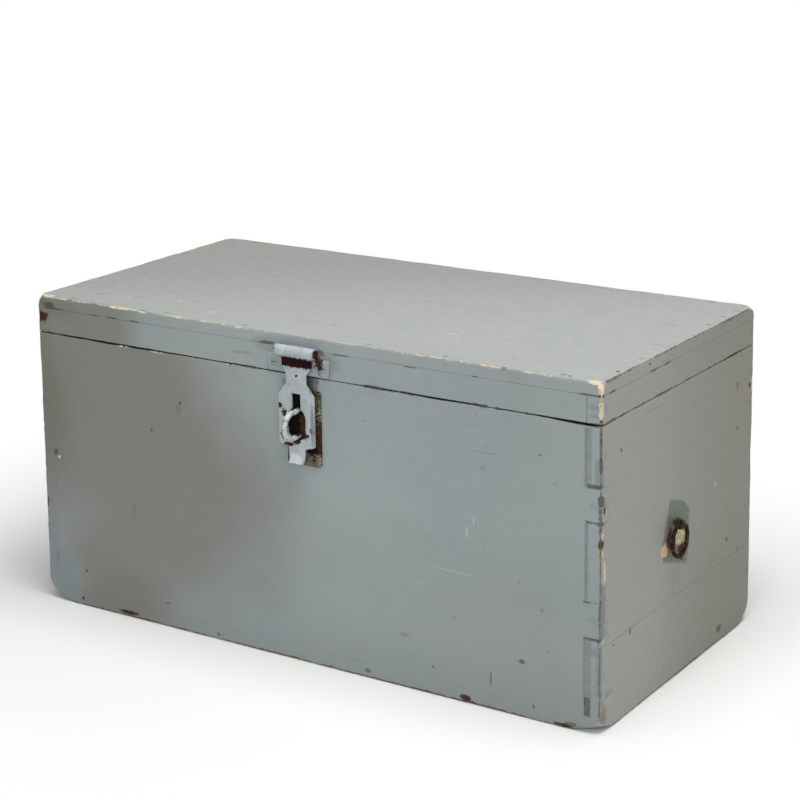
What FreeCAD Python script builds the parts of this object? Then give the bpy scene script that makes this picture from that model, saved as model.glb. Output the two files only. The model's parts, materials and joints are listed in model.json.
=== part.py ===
import FreeCAD, Part

import os
import re

import Sketcher
from FreeCAD import Placement, Rotation, Vector

# A painted wooden storage chest: a box-jointed base and a flat lid that were made as one
# closed box and sawn apart, two butt hinges, a cranked hasp over a staple, and a drop ring
# on each end. X runs along the length, Y from front to back, Z up. The origin is on the
# floor, under the middle of the box. Sizes are in millimetres.

SIZES = {
    # The box
    "chest_length": 620.0,
    "chest_depth": 310.0,
    "wall_thickness": 14.0,
    "wall_height": 261.0,
    "bottom_thickness": 14.0,
    "end_seam_share": 0.245,
    "bottom_seam_share": 0.56,
    # The two tails that each long wall shows at a corner
    "tail_height": 32.0,
    "lower_tail_share": 0.341,
    "upper_tail_share": 0.732,
    # The knocked corners, each a round face that cuts three edges
    "worn_corner_length": 38.0,
    "worn_corner_depth": 30.0,
    "worn_corner_height": 20.0,
    "worn_lid_corner_length": 11.0,
    "worn_lid_corner_depth": 11.0,
    "worn_lid_corner_height": 11.0,
    "worn_corner_shares": 1.72,
    # The lid
    "lid_gap": 1.0,
    "lid_rail_height": 24.5,
    "lid_top_thickness": 11.5,
    # The butt hinges
    "hinge_inset": 120.0,
    "hinge_length": 60.0,
    "hinge_knuckle_count": 5,
    "hinge_leaf_width": 12.5,
    "hinge_leaf_thickness": 1.8,
    "hinge_leaf_gap": 0.4,
    "hinge_barrel_radius": 3.4,
    "hinge_pin_radius": 1.6,
    # The hasp's leaf and strap
    "hasp_offset": 3.0,
    "hasp_axis_drop": 13.5,
    "hasp_barrel_length": 42.0,
    "hasp_barrel_radius": 5.0,
    "hasp_pin_radius": 2.2,
    "hasp_leaf_length": 68.0,
    "hasp_leaf_edge_gap": 0.8,
    "hasp_leaf_thickness": 2.0,
    "strap_knuckle_length": 17.0,
    "strap_thickness": 2.2,
    "strap_leaf_gap": 0.7,
    "strap_root_width": 32.0,
    "strap_neck_width": 22.0,
    "strap_body_width": 39.0,
    "strap_tab_width": 18.0,
    "strap_root_length": 14.0,
    "strap_crank_length": 7.0,
    "strap_crank_offset": 1.0,
    "strap_neck_length": 9.0,
    "strap_shoulder_length": 10.0,
    "strap_body_length": 47.5,
    "strap_tab_length": 17.5,
    "strap_lip_length": 5.5,
    "strap_lip_flare": 2.6,
    "strap_tip_share": 0.86,
    "strap_tab_slope_share": 0.33,
    "keyhole_edge": 4.0,
    "keyhole_radius": 10.0,
    "keyhole_height": 31.0,
    "keyhole_slot_width": 9.6,
    "keyhole_slot_length": 13.3,
    # The staple and its plate
    "staple_plate_width": 37.0,
    "staple_plate_height": 71.0,
    "staple_plate_thickness": 2.0,
    "staple_plate_corner_radius": 3.0,
    "staple_plate_drop": 3.5,
    "staple_plate_shift": 5.5,
    "staple_bar_radius": 2.5,
    "staple_height": 29.0,
    "staple_lift": 0.3,
    "staple_reach": 27.0,
    "staple_leg_depth": 10.0,
    # The drop rings and their split pins
    "ring_setback": 14.0,
    "ring_axis_height": 149.0,
    "ring_radius": 15.1,
    "ring_bar_radius": 1.9,
    "ring_play": 0.35,
    "eye_bar_radius": 1.7,
    "eye_standoff": 0.6,
    "pin_shank_radius": 2.0,
    "pin_leg_radius": 1.5,
    "pin_leg_length": 16.0,
    # Screws and nails
    "screw_head_radius": 3.1,
    "screw_shank_radius": 1.6,
    "screw_length": 13.0,
    "screw_slot_width": 0.8,
    "screw_slot_depth": 0.7,
    "screw_tip_length": 3.0,
    "nail_head_width": 4.6,
    "nail_head_breadth": 3.4,
    "nail_head_thickness": 1.0,
    "nail_shank_width": 2.6,
    "nail_shank_breadth": 1.8,
    "nail_tip_width": 1.0,
    "nail_length": 34.0,
    "nail_sink": 0.3,
    "nail_room": 6.0,
    # Clearances and the overrun of cuts
    "running_fit": 0.05,
    "seat_fit": 0.1,
    "knuckle_gap": 0.3,
    "barrel_standoff": 0.4,
    "overrun": 2.0,
}

# Places that several pieces share, worked out from the sizes
PLACES = {
    "half_length": "chest_length / 2",
    "half_depth": "chest_depth / 2",
    "inner_half_length": "half_length - wall_thickness",
    "inner_half_depth": "half_depth - wall_thickness",
    "base_top": "bottom_thickness + wall_height",
    "end_seam": "bottom_thickness + wall_height * end_seam_share",
    "lower_tail": "bottom_thickness + wall_height * lower_tail_share",
    "upper_tail": "bottom_thickness + wall_height * upper_tail_share",
    "lid_bottom": "base_top + lid_gap",
    "rail_top": "lid_bottom + lid_rail_height",
    "lid_top": "rail_top + lid_top_thickness",
    "bottom_seam": "chest_depth * bottom_seam_share - half_depth",
    "hinge_pivot_y": "half_depth + barrel_standoff + hinge_barrel_radius",
    "hinge_pivot_z": "base_top + lid_gap / 2",
    "hinge_middle": "half_length - hinge_inset",
    "hinge_bore": "hinge_pin_radius + running_fit",
    "knuckle_pitch": "hinge_length / hinge_knuckle_count",
    "hasp_axis_y": "-half_depth - barrel_standoff - hasp_barrel_radius",
    "hasp_axis_z": "lid_top - hasp_axis_drop",
    "hasp_bore": "hasp_pin_radius + running_fit",
    "hasp_leaf_back": "barrel_standoff + hasp_barrel_radius",
    "hasp_leaf_front": "hasp_leaf_back - hasp_leaf_thickness",
    "strap_back": "hasp_leaf_front - strap_leaf_gap",
    "strap_front": "strap_back - strap_thickness",
    "strap_crank_end": "strap_root_length + strap_crank_length",
    "strap_neck_end": "strap_crank_end + strap_neck_length",
    "strap_body_start": "strap_neck_end + strap_shoulder_length",
    "strap_body_end": "strap_body_start + strap_body_length",
    "strap_end": "strap_body_end + strap_tab_length",
    "keyhole_drop": "strap_body_end - keyhole_edge - keyhole_height / 2",
    "staple_z": "hasp_axis_z - keyhole_drop + staple_lift",
    "staple_plate_x": "hasp_offset + staple_plate_shift",
    "staple_plate_z": "staple_z - staple_plate_drop",
    "staple_bend_radius": "staple_height / 2 - staple_bar_radius",
    "staple_leg_y": "-half_depth - staple_reach + staple_height / 2",
    "ring_axis_x": "half_length + eye_standoff + eye_bar_radius + eye_radius",
    "eye_radius": "ring_bar_radius + ring_play + eye_bar_radius",
}

doc = FreeCAD.newDocument("StorageChest")
sheet = doc.addObject("Spreadsheet::Sheet", "Sizes")
for row, (name, number) in enumerate(SIZES.items(), start=1):
    sheet.set(f"A{row}", str(number))
    sheet.setAlias(f"A{row}", name)
doc.recompute()

nodes = []


def sized(text):
    """The text as an expression: places are worked out, and sizes point at their cells."""
    known = 1
    while known:
        text, known = re.subn(
            r"\b(" + "|".join(PLACES) + r")\b", lambda m: f"({PLACES[m[0]]})", text
        )
    return re.sub(r"\b(" + "|".join(SIZES) + r")\b", r"Sizes.\1", text)


def value(text):
    """The number that an expression of sizes and places comes to."""
    return float(sheet.evalExpression(sized(text)))


def bind(thing, **texts):
    """Sets the named properties of an object to expressions of sizes and places."""
    for name, text in texts.items():
        thing.setExpression(name, sized(text))
    return thing


def put(thing, x="0", y="0", z="0", rotation=None):
    """Places an object at a point worked out from the sizes, turned if asked."""
    if rotation:
        thing.Placement = Placement(Vector(), rotation)
    for axis, text in zip("xyz", (x, y, z)):
        thing.setExpression(f"Placement.Base.{axis}", sized(text))
    return thing


def node(thing, name):
    """Names an object as one of the chest's pieces."""
    thing.Label = name
    nodes.append(thing)
    return thing


# Sketches and the features made from them


def sketch(body, role, offset="0"):
    """A sketch on one of the body's own planes, or that far out along the plane's normal."""
    plane = next(o for o in body.Origin.OriginFeatures if o.Role == role)
    drawn = body.newObject("Sketcher::SketchObject", "Sketch")
    drawn.AttachmentSupport = [(plane, "")]
    drawn.MapMode = "FlatFace"
    drawn.setExpression("AttachmentOffset.Base.z", sized(offset))
    return drawn


def outline(drawn, points):
    """Draws a closed outline whose corners are pairs of expressions."""
    first = drawn.GeometryCount
    spots = [Vector(value(x), value(y), 0) for x, y in points]
    count = len(spots)
    for i in range(count):
        drawn.addGeometry(Part.LineSegment(spots[i], spots[(i + 1) % count]), False)
    for i in range(count):
        after = first + (i + 1) % count
        drawn.addConstraint(Sketcher.Constraint("Coincident", first + i, 2, after, 1))
    for i, (x, y) in enumerate(points):
        for kind, number, text in (("DistanceX", spots[i].x, x), ("DistanceY", spots[i].y, y)):
            at = drawn.addConstraint(Sketcher.Constraint(kind, -1, 1, first + i, 1, number))
            drawn.setExpression(f"Constraints[{at}]", sized(text))
    return drawn


def circles(drawn, centres, radius):
    """Draws a circle at each centre, whose two places are expressions."""
    for x, y in centres:
        centre = Vector(value(x), value(y), 0)
        ring = drawn.addGeometry(Part.Circle(centre, Vector(0, 0, 1), value(radius)), False)
        for kind, number, text in (("DistanceX", centre.x, x), ("DistanceY", centre.y, y)):
            at = drawn.addConstraint(Sketcher.Constraint(kind, -1, 1, ring, 3, number))
            drawn.setExpression(f"Constraints[{at}]", sized(text))
        at = drawn.addConstraint(Sketcher.Constraint("Radius", ring, value(radius)))
        drawn.setExpression(f"Constraints[{at}]", sized(radius))
    return drawn


def new_body(name="Piece"):
    return doc.addObject("PartDesign::Body", name)


def pad(body, drawn, length, reverse=False, middle=False):
    """Raises a sketch by a length, from its plane or to both sides of it."""
    raised = body.newObject("PartDesign::Pad", "Pad")
    raised.Profile = drawn
    raised.setExpression("Length", sized(length))
    raised.Reversed = reverse
    raised.Midplane = middle
    return raised


def turn(body, drawn, axis):
    """Turns a sketch all the way round one of its own axes."""
    turned = body.newObject("PartDesign::Revolution", "Turned")
    turned.Profile = drawn
    turned.ReferenceAxis = (drawn, [axis])
    turned.Angle = 360
    return turned


def screw_holes(body, role, offset, centres, reverse=False):
    """Countersunk holes through a leaf or plate, opening at the sketch's plane."""
    doc.recompute()
    drawn = circles(sketch(body, role, offset), centres, "screw_shank_radius")
    doc.recompute()
    solid = body.Shape.Volume
    hole = body.newObject("PartDesign::Hole", "ScrewHoles")
    hole.Profile = drawn
    hole.DepthType = "ThroughAll"
    hole.HoleCutType = "Countersink"
    hole.HoleCutCustomValues = True
    hole.HoleCutCountersinkAngle = 90
    hole.Reversed = reverse
    hole.setExpression("Diameter", sized("2 * (screw_shank_radius + running_fit)"))
    hole.setExpression("HoleCutDiameter", sized("2 * (screw_head_radius + running_fit)"))
    doc.recompute()
    if not body.Shape.Volume < solid:
        raise ValueError(f"{body.Label}: the screw holes cut nothing")
    return hole


# Primitives and booleans


def box(length, width, height, **place):
    block = doc.addObject("Part::Box", "Block")
    return put(bind(block, Length=length, Width=width, Height=height), **place)


def rod(radius, length, rotation=None, **place):
    """A cylinder that runs up from its place, or the way the rotation turns up."""
    made = doc.addObject("Part::Cylinder", "Rod")
    return put(bind(made, Radius=radius, Height=length), rotation=rotation, **place)


def cut(base, *tools):
    for tool in tools:
        made = doc.addObject("Part::Cut", "Cut")
        made.Base, made.Tool = base, tool
        base = made
    return base


def fuse(*pieces):
    made = doc.addObject("Part::MultiFuse", "Joined")
    made.Shapes = list(pieces)
    return made


ALONG_X = Rotation(Vector(0, 1, 0), 90)
ALONG_Y = Rotation(Vector(1, 0, 0), -90)
BACK_ALONG_X = Rotation(Vector(0, 1, 0), -90)


# The boards


def board(role, corners, thickness, reverse=False, **place):
    """A board with that outline, raised by its thickness."""
    body = new_body("Board")
    pad(body, outline(sketch(body, role), corners), thickness, reverse)
    return put(body, **place)


def worn_corner(side_x, side_y, height, up, name):
    """What knocks have taken off a corner: the corner itself, less a long ball deep inside it."""
    length, depth, tall = (f"{name}_{way}" for way in ("length", "depth", "height"))
    middle = "((1 + sqrt(3 * worn_corner_shares ^ 2 - 2)) / 3)"
    block = box(
        f"({length} + overrun)",
        f"({depth} + overrun)",
        f"({tall} + overrun)",
        x=f"half_length - {length}" if side_x > 0 else "-half_length - overrun",
        y=f"half_depth - {depth}" if side_y > 0 else "-half_depth - overrun",
        z=f"{height} - {tall}" if up > 0 else f"{height} - overrun",
    )
    ball = doc.addObject("Part::Ellipsoid", "Ball")
    bind(
        ball,
        Radius1=f"{tall} * worn_corner_shares",
        Radius2=f"{length} * worn_corner_shares",
        Radius3=f"{depth} * worn_corner_shares",
    )
    put(
        ball,
        x=f"{side_x} * (half_length - {length} * {middle})",
        y=f"{side_y} * (half_depth - {depth} * {middle})",
        z=f"{height} - {up} * {tall} * {middle}",
    )
    return cut(block, ball)


def tailed_wall_corners():
    """The outline of a front or back wall: its two tails at each end run out to the corner."""
    right = [("inner_half_length", "bottom_thickness")]
    for tail in ("lower_tail", "upper_tail"):
        low, high = f"{tail} - tail_height / 2", f"{tail} + tail_height / 2"
        right += [
            ("inner_half_length", low),
            ("half_length", low),
            ("half_length", high),
            ("inner_half_length", high),
        ]
    right.append(("inner_half_length", "base_top"))
    left = [(f"-({x})", z) for x, z in reversed(right)]
    return right + left


def notched_end_corners():
    """The outline of an end's upper board: it gives way to the walls' tails."""
    back = [("half_depth", "end_seam")]
    for tail in ("lower_tail", "upper_tail"):
        low, high = f"{tail} - tail_height / 2", f"{tail} + tail_height / 2"
        back += [
            ("half_depth", low),
            ("inner_half_depth", low),
            ("inner_half_depth", high),
            ("half_depth", high),
        ]
    back.append(("half_depth", "base_top"))
    front = [(f"-({y})", z) for y, z in reversed(back)]
    return back + front


def rectangle(low_x, high_x, low_y, high_y):
    return [(low_x, low_y), (high_x, low_y), (high_x, high_y), (low_x, high_y)]


CORNERS = [(side_x, side_y) for side_x in (-1, 1) for side_y in (-1, 1)]
SIDES = (("left", -1), ("right", 1))


def build_walls():
    legs = [
        rod(
            "staple_bar_radius + seat_fit",
            "staple_leg_depth + overrun + seat_fit",
            ALONG_Y,
            x="hasp_offset",
            y="-half_depth - overrun",
            z=f"staple_z + {side} * staple_bend_radius",
        )
        for side in (-1, 1)
    ]
    wall = board("XZ_Plane", tailed_wall_corners(), "wall_thickness", y="-inner_half_depth")
    node(cut(wall, *legs), "front_board")

    mortises = [
        box(
            "hinge_length + 2 * seat_fit",
            "hinge_leaf_width + overrun + seat_fit",
            "hinge_leaf_thickness + hinge_leaf_gap / 2 + lid_gap / 2",
            x=f"{side} * hinge_middle - hinge_length / 2 - seat_fit",
            y="half_depth - hinge_leaf_width - seat_fit",
            z="hinge_pivot_z - hinge_leaf_gap / 2 - hinge_leaf_thickness",
        )
        for side in (-1, 1)
    ]
    wall = board("XZ_Plane", tailed_wall_corners(), "wall_thickness", y="half_depth")
    node(cut(wall, *mortises), "back_board")


def build_ends():
    for name, side in SIDES:
        inner = "inner_half_length" if side > 0 else "-half_length"
        upper = board("YZ_Plane", notched_end_corners(), "wall_thickness", x=inner)
        pin_hole = rod(
            "pin_shank_radius + seat_fit",
            "wall_thickness + 2 * overrun",
            ALONG_X,
            x=f"{inner} - overrun",
            y="-ring_setback",
            z="ring_axis_height",
        )
        node(cut(upper, pin_hole), f"{name}_end_upper_board")

        lower_corners = rectangle("-half_depth", "half_depth", "bottom_thickness", "end_seam")
        lower = board("YZ_Plane", lower_corners, "wall_thickness", x=inner)
        knocks = [
            worn_corner(side, back, "0", -1, "worn_corner")
            for back in (-1, 1)
        ]
        node(cut(lower, *knocks), f"{name}_end_lower_board")


def build_bottom():
    for name, back, low, high in (
        ("front", -1, "-half_depth", "bottom_seam"),
        ("back", 1, "bottom_seam", "half_depth"),
    ):
        corners = rectangle("-half_length", "half_length", low, high)
        plank = board("XY_Plane", corners, "bottom_thickness")
        knocks = [
            worn_corner(side, back, "0", -1, "worn_corner")
            for side in (-1, 1)
        ]
        node(cut(plank, *knocks), f"bottom_{name}_board")


def build_lid():
    top_corners = rectangle("-half_length", "half_length", "-half_depth", "half_depth")
    top = board("XY_Plane", top_corners, "lid_top_thickness", z="rail_top")
    knocks = [
        worn_corner(x, y, "lid_top", 1, "worn_lid_corner")
        for x, y in CORNERS
    ]
    node(cut(top, *knocks), "lid_top_board")

    for name, side in SIDES:
        rail = box(
            "wall_thickness",
            "chest_depth",
            "lid_rail_height",
            x="inner_half_length" if side > 0 else "-half_length",
            y="-half_depth",
            z="lid_bottom",
        )
        node(rail, f"lid_{name}_rail")

    rail_length = "2 * (inner_half_length)"
    front = box(
        rail_length,
        "wall_thickness",
        "lid_rail_height",
        x="-inner_half_length",
        y="-half_depth",
        z="lid_bottom",
    )
    node(front, "lid_front_rail")

    back = box(
        rail_length,
        "wall_thickness",
        "lid_rail_height",
        x="-inner_half_length",
        y="inner_half_depth",
        z="lid_bottom",
    )
    mortises = [
        box(
            "hinge_length + 2 * seat_fit",
            "hinge_leaf_width + overrun + seat_fit",
            "hinge_leaf_thickness + hinge_leaf_gap / 2 + lid_gap / 2",
            x=f"{side} * hinge_middle - hinge_length / 2 - seat_fit",
            y="half_depth - hinge_leaf_width - seat_fit",
            z="hinge_pivot_z - lid_gap / 2",
        )
        for side in (-1, 1)
    ]
    node(cut(back, *mortises), "lid_back_rail")


# The butt hinges

HINGE_SCREW_SHARES = (-0.34, 0.0, 0.34)


def knuckle_span(number):
    """Where a hinge's knuckle starts and ends along the pin, with its share of the gap."""
    low = f"-hinge_length / 2 + {number} * knuckle_pitch + knuckle_gap / 2"
    high = f"-hinge_length / 2 + {number + 1} * knuckle_pitch - knuckle_gap / 2"
    return low, high


def hinge_leaf(knuckles, below):
    """A leaf with its rolled knuckles, about the pin's middle. The leaf lies towards -Y."""
    body = new_body("Leaf")
    edge = "-hinge_barrel_radius - barrel_standoff"
    far = "-hinge_barrel_radius - barrel_standoff - hinge_leaf_width"
    root = "-(hinge_bore + hinge_barrel_radius) / 2"
    comb = [("-hinge_length / 2", far), ("hinge_length / 2", far), ("hinge_length / 2", edge)]
    for number in reversed(knuckles):
        low, high = knuckle_span(number)
        comb += [(high, edge), (high, root), (low, root), (low, edge)]
    comb.append(("-hinge_length / 2", edge))
    face = "-hinge_leaf_gap / 2" if below else "hinge_leaf_gap / 2"
    pad(body, outline(sketch(body, "XY_Plane", face), comb), "hinge_leaf_thickness", below)
    rolled = sketch(body, "XY_Plane")
    for number in knuckles:
        low, high = knuckle_span(number)
        outline(rolled, rectangle(low, high, "hinge_bore", "hinge_barrel_radius"))
    turn(body, rolled, "H_Axis")
    row = f"{far} + hinge_leaf_width / 2"
    centres = [(f"{share} * hinge_length", row) for share in HINGE_SCREW_SHARES]
    screw_holes(body, "XY_Plane", face, centres, reverse=not below)
    return body


def pin(radius, half_span, head_radius, head_length):
    """A pin along X with a flat head on each end."""
    body = new_body("Pin")
    profile = [
        (f"-({half_span}) - {head_length}", "0"),
        (f"{half_span} + {head_length}", "0"),
        (f"{half_span} + {head_length}", head_radius),
        (f"{half_span} + knuckle_gap / 2", head_radius),
        (f"{half_span} + knuckle_gap / 2", radius),
        (f"-({half_span}) - knuckle_gap / 2", radius),
        (f"-({half_span}) - knuckle_gap / 2", head_radius),
        (f"-({half_span}) - {head_length}", head_radius),
    ]
    turn(body, outline(sketch(body, "XY_Plane"), profile), "H_Axis")
    return body


def build_hinges():
    for name, side in SIDES:
        place = {
            "x": f"{side} * hinge_middle",
            "y": "hinge_pivot_y",
            "z": "hinge_pivot_z",
        }
        node(put(hinge_leaf((0, 2, 4), True), **place), f"{name}_hinge_base_leaf")
        node(put(hinge_leaf((1, 3), False), **place), f"{name}_hinge_lid_leaf")
        hinge_pin = pin(
            "hinge_pin_radius",
            "hinge_length / 2",
            "(hinge_pin_radius + hinge_barrel_radius) / 2",
            "hinge_pin_radius / 2",
        )
        node(put(hinge_pin, **place), f"{name}_hinge_pin")


# The hasp

HASP_SCREW_SHARE = 0.39


def build_hasp_leaf():
    """The fixed leaf on the lid's front rail, with a knuckle at each end of the barrel."""
    body = new_body("HaspLeaf")
    half = "hasp_leaf_length / 2"
    inner = "strap_knuckle_length / 2 + knuckle_gap"
    outer = "hasp_barrel_length / 2"
    low = "-(hasp_axis_z - lid_bottom - hasp_leaf_edge_gap)"
    shelf = "-hasp_barrel_radius - knuckle_gap - running_fit"
    comb = [
        (f"-({half})", low),
        (half, low),
        (half, shelf),
        (outer, shelf),
        (outer, "0"),
        (inner, "0"),
        (inner, shelf),
        (f"-({inner})", shelf),
        (f"-({inner})", "0"),
        (f"-({outer})", "0"),
        (f"-({outer})", shelf),
        (f"-({half})", shelf),
    ]
    face = "-(hasp_leaf_front)"
    pad(body, outline(sketch(body, "XZ_Plane", face), comb), "hasp_leaf_thickness", True)
    rolled = sketch(body, "XY_Plane")
    outline(rolled, rectangle(inner, outer, "hasp_bore", "hasp_barrel_radius"))
    outline(rolled, rectangle(f"-({outer})", f"-({inner})", "hasp_bore", "hasp_barrel_radius"))
    turn(body, rolled, "H_Axis")
    row = f"({low} + {shelf}) / 2"
    centres = [(f"{side} * {HASP_SCREW_SHARE} * hasp_leaf_length", row) for side in (-1, 1)]
    screw_holes(body, "XZ_Plane", face, centres)
    return body


def strap_side():
    """The strap seen from its side: close to the leaf at its root, cranked out to clear the
    staple's plate, with a lip turned out at its tip. The first of each pair is Y."""
    out = "strap_crank_offset"
    lip = "strap_end - strap_lip_length"
    back = [
        ("strap_back", "-(hasp_bore + hasp_barrel_radius) / 2"),
        ("strap_back", "-strap_root_length"),
        (f"strap_back - {out}", "-(strap_crank_end)"),
        (f"strap_back - {out}", f"-({lip})"),
        (f"strap_back - {out} - strap_lip_flare", "-(strap_end)"),
    ]
    front = [
        (f"strap_front - {out} - strap_lip_flare", "-(strap_end)"),
        (f"strap_front - {out}", f"-({lip})"),
        (f"strap_front - {out}", "-(strap_crank_end)"),
        ("strap_front", "-strap_root_length"),
        ("strap_front", "-(hasp_bore + hasp_barrel_radius) / 2"),
    ]
    return back + front


def strap_face():
    """The strap seen from the front: root, neck, shoulders, body and a tapering tab."""
    knuckle, root = "strap_knuckle_length / 2", "strap_root_width / 2"
    neck, broad, tab = "strap_neck_width / 2", "strap_body_width / 2", "strap_tab_width / 2"
    shelf = "-hasp_barrel_radius - knuckle_gap - running_fit"
    right = [
        (knuckle, "0"),
        (knuckle, shelf),
        (root, shelf),
        (root, "-strap_root_length"),
        (neck, "-(strap_crank_end)"),
        (neck, "-(strap_neck_end)"),
        (broad, "-(strap_body_start)"),
        (broad, "-(strap_body_end)"),
        (tab, f"-(strap_body_end) - strap_tab_slope_share * ({broad} - {tab})"),
        (f"{tab} * strap_tip_share", "-(strap_end)"),
    ]
    left = [(f"-({x})", z) for x, z in reversed(right)]
    return right + left


def build_hasp():
    place = {"x": "hasp_offset", "y": "hasp_axis_y", "z": "hasp_axis_z"}
    node(put(build_hasp_leaf(), **place), "hasp_leaf")

    hasp_pin = pin(
        "hasp_pin_radius",
        "hasp_barrel_length / 2",
        "(hasp_pin_radius + hasp_barrel_radius) / 2",
        "hasp_pin_radius / 2",
    )
    node(put(hasp_pin, **place), "hasp_pin")

    side = new_body("StrapSide")
    pad(side, outline(sketch(side, "YZ_Plane"), strap_side()), "strap_body_width", middle=True)
    face = new_body("StrapFace")
    depth = "2 * (strap_crank_offset + strap_lip_flare + strap_thickness + hasp_leaf_back)"
    pad(face, outline(sketch(face, "XZ_Plane"), strap_face()), depth, middle=True)
    plate = doc.addObject("Part::Common", "StrapPlate")
    plate.Base, plate.Tool = side, face

    knuckle = rod(
        "hasp_barrel_radius", "strap_knuckle_length", ALONG_X, x="-strap_knuckle_length / 2"
    )
    bore = rod(
        "hasp_bore",
        "strap_knuckle_length + 2 * overrun",
        ALONG_X,
        x="-strap_knuckle_length / 2 - overrun",
    )
    through = "2 * (strap_crank_offset + strap_thickness + hasp_leaf_back)"
    arch = "(keyhole_height / 2 - keyhole_radius)"
    keyhole = [
        rod("keyhole_radius", through, ALONG_Y, y=f"-({through}) / 2", z=f"-keyhole_drop + {arch}"),
        rod("keyhole_radius", through, ALONG_Y, y=f"-({through}) / 2", z=f"-keyhole_drop - {arch}"),
        box(
            "2 * keyhole_radius",
            through,
            f"2 * {arch}",
            x="-keyhole_radius",
            y=f"-({through}) / 2",
            z=f"-keyhole_drop - {arch}",
        ),
        box(
            "keyhole_slot_width",
            through,
            "keyhole_height / 2 + keyhole_slot_length",
            x="-keyhole_slot_width / 2",
            y=f"-({through}) / 2",
            z="-keyhole_drop",
        ),
    ]
    strap = cut(fuse(plate, knuckle), bore, *keyhole)
    node(put(strap, **place), "hasp_strap")


# The staple

PLATE_SCREW_SHARES = (0.36, 0.41)


def build_staple():
    body = new_body("StaplePlate")
    width, height = "staple_plate_width / 2", "staple_plate_height / 2"
    flat = outline(
        sketch(body, "XZ_Plane"), rectangle(f"-({width})", width, f"-({height})", height)
    )
    plate = pad(body, flat, "staple_plate_thickness", True)
    doc.recompute()
    rounded = body.newObject("PartDesign::Fillet", "Corners")
    upright = [
        f"Edge{i + 1}"
        for i, edge in enumerate(plate.Shape.Edges)
        if abs(edge.Vertexes[0].Y - edge.Vertexes[1].Y) > value("staple_plate_thickness") / 2
    ]
    rounded.Base = (plate, upright)
    bind(rounded, Radius="staple_plate_corner_radius")
    centres = [
        (
            f"{x} * {PLATE_SCREW_SHARES[0]} * staple_plate_width",
            f"{z} * {PLATE_SCREW_SHARES[1]} * staple_plate_height",
        )
        for x, z in CORNERS
    ]
    screw_holes(body, "XZ_Plane", "0", centres)
    legs = sketch(body, "XZ_Plane")
    circles(
        legs,
        [
            ("-staple_plate_shift", f"staple_plate_drop + {side} * staple_bend_radius")
            for side in (-1, 1)
        ],
        "staple_bar_radius + seat_fit",
    )
    through = body.newObject("PartDesign::Pocket", "LegHoles")
    through.Profile = legs
    through.Type = "ThroughAll"
    place = {"x": "staple_plate_x", "y": "-half_depth - staple_plate_thickness"}
    node(put(body, z="staple_plate_z", **place), "staple_plate")

    bend = doc.addObject("Part::Torus", "Bend")
    bind(bend, Radius1="staple_bend_radius", Radius2="staple_bar_radius")
    bend.Angle3 = 180
    upright_bend = Rotation(Vector(0, 0, 1), Vector(0, -1, 0), Vector(1, 0, 0), "XYZ")
    put(bend, x="hasp_offset", y="staple_leg_y", z="staple_z", rotation=upright_bend)
    legs = [
        rod(
            "staple_bar_radius",
            "-half_depth + staple_leg_depth - (staple_leg_y)",
            ALONG_Y,
            x="hasp_offset",
            y="staple_leg_y",
            z=f"staple_z + {side} * staple_bend_radius",
        )
        for side in (-1, 1)
    ]
    node(fuse(bend, *legs), "staple_loop")


# The drop rings


def build_ring(name, side):
    place = {"x": f"{side} * ring_axis_x", "y": "-ring_setback"}
    ring = doc.addObject("Part::Torus", "Ring")
    bind(ring, Radius1="ring_radius", Radius2="ring_bar_radius")
    put(ring, z="ring_axis_height - ring_radius", rotation=ALONG_X, **place)
    node(ring, f"{name}_ring")

    eye = doc.addObject("Part::Torus", "Eye")
    bind(eye, Radius1="eye_radius", Radius2="eye_bar_radius")
    put(eye, z="ring_axis_height", rotation=ALONG_Y, **place)
    inwards = BACK_ALONG_X if side > 0 else ALONG_X
    shank = rod(
        "pin_shank_radius",
        "ring_axis_x - eye_radius - inner_half_length + pin_leg_radius",
        inwards,
        x=f"{side} * (ring_axis_x - eye_radius)",
        y="-ring_setback",
        z="ring_axis_height",
    )
    leg_x = f"{side} * (inner_half_length - pin_leg_radius)"
    legs = rod(
        "pin_leg_radius",
        "2 * pin_leg_length",
        x=leg_x,
        y="-ring_setback",
        z="ring_axis_height - pin_leg_length",
    )
    node(fuse(eye, shank, legs), f"{name}_ring_eye")


# Screws and nails


def screw_body():
    """A countersunk screw that points down, with its head's face at the origin."""
    body = new_body("Screw")
    cone = "screw_head_radius - screw_shank_radius"
    profile = [
        ("0", "0"),
        ("screw_head_radius", "0"),
        ("screw_shank_radius", f"-({cone})"),
        ("screw_shank_radius", "-screw_length + screw_tip_length"),
        ("0", "-screw_length"),
    ]
    turn(body, outline(sketch(body, "XZ_Plane"), profile), "V_Axis")
    half, reach = "screw_slot_width / 2", "screw_head_radius + overrun"
    slot = outline(
        sketch(body, "XY_Plane"), rectangle(f"-({reach})", reach, f"-({half})", half)
    )
    pocket = body.newObject("PartDesign::Pocket", "Slot")
    pocket.Profile = slot
    pocket.setExpression("Length", sized("screw_slot_depth"))
    return body


def nail_body():
    """A cut nail that points down, with its head's face at the origin."""
    head = box(
        "nail_head_width",
        "nail_head_breadth",
        "nail_head_thickness",
        x="-nail_head_width / 2",
        y="-nail_head_breadth / 2",
        z="-nail_head_thickness",
    )
    shank = doc.addObject("Part::Wedge", "Shank")
    bind(
        shank,
        Xmin="-nail_shank_width / 2",
        Xmax="nail_shank_width / 2",
        Ymin="0",
        Ymax="nail_length - nail_head_thickness",
        Zmin="-nail_shank_breadth / 2",
        Zmax="nail_shank_breadth / 2",
        X2min="-nail_tip_width / 2",
        X2max="nail_tip_width / 2",
        Z2min="-nail_shank_breadth / 2",
        Z2max="nail_shank_breadth / 2",
    )
    put(shank, z="-nail_head_thickness", rotation=Rotation(Vector(1, 0, 0), -90))
    return fuse(head, shank)


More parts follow.
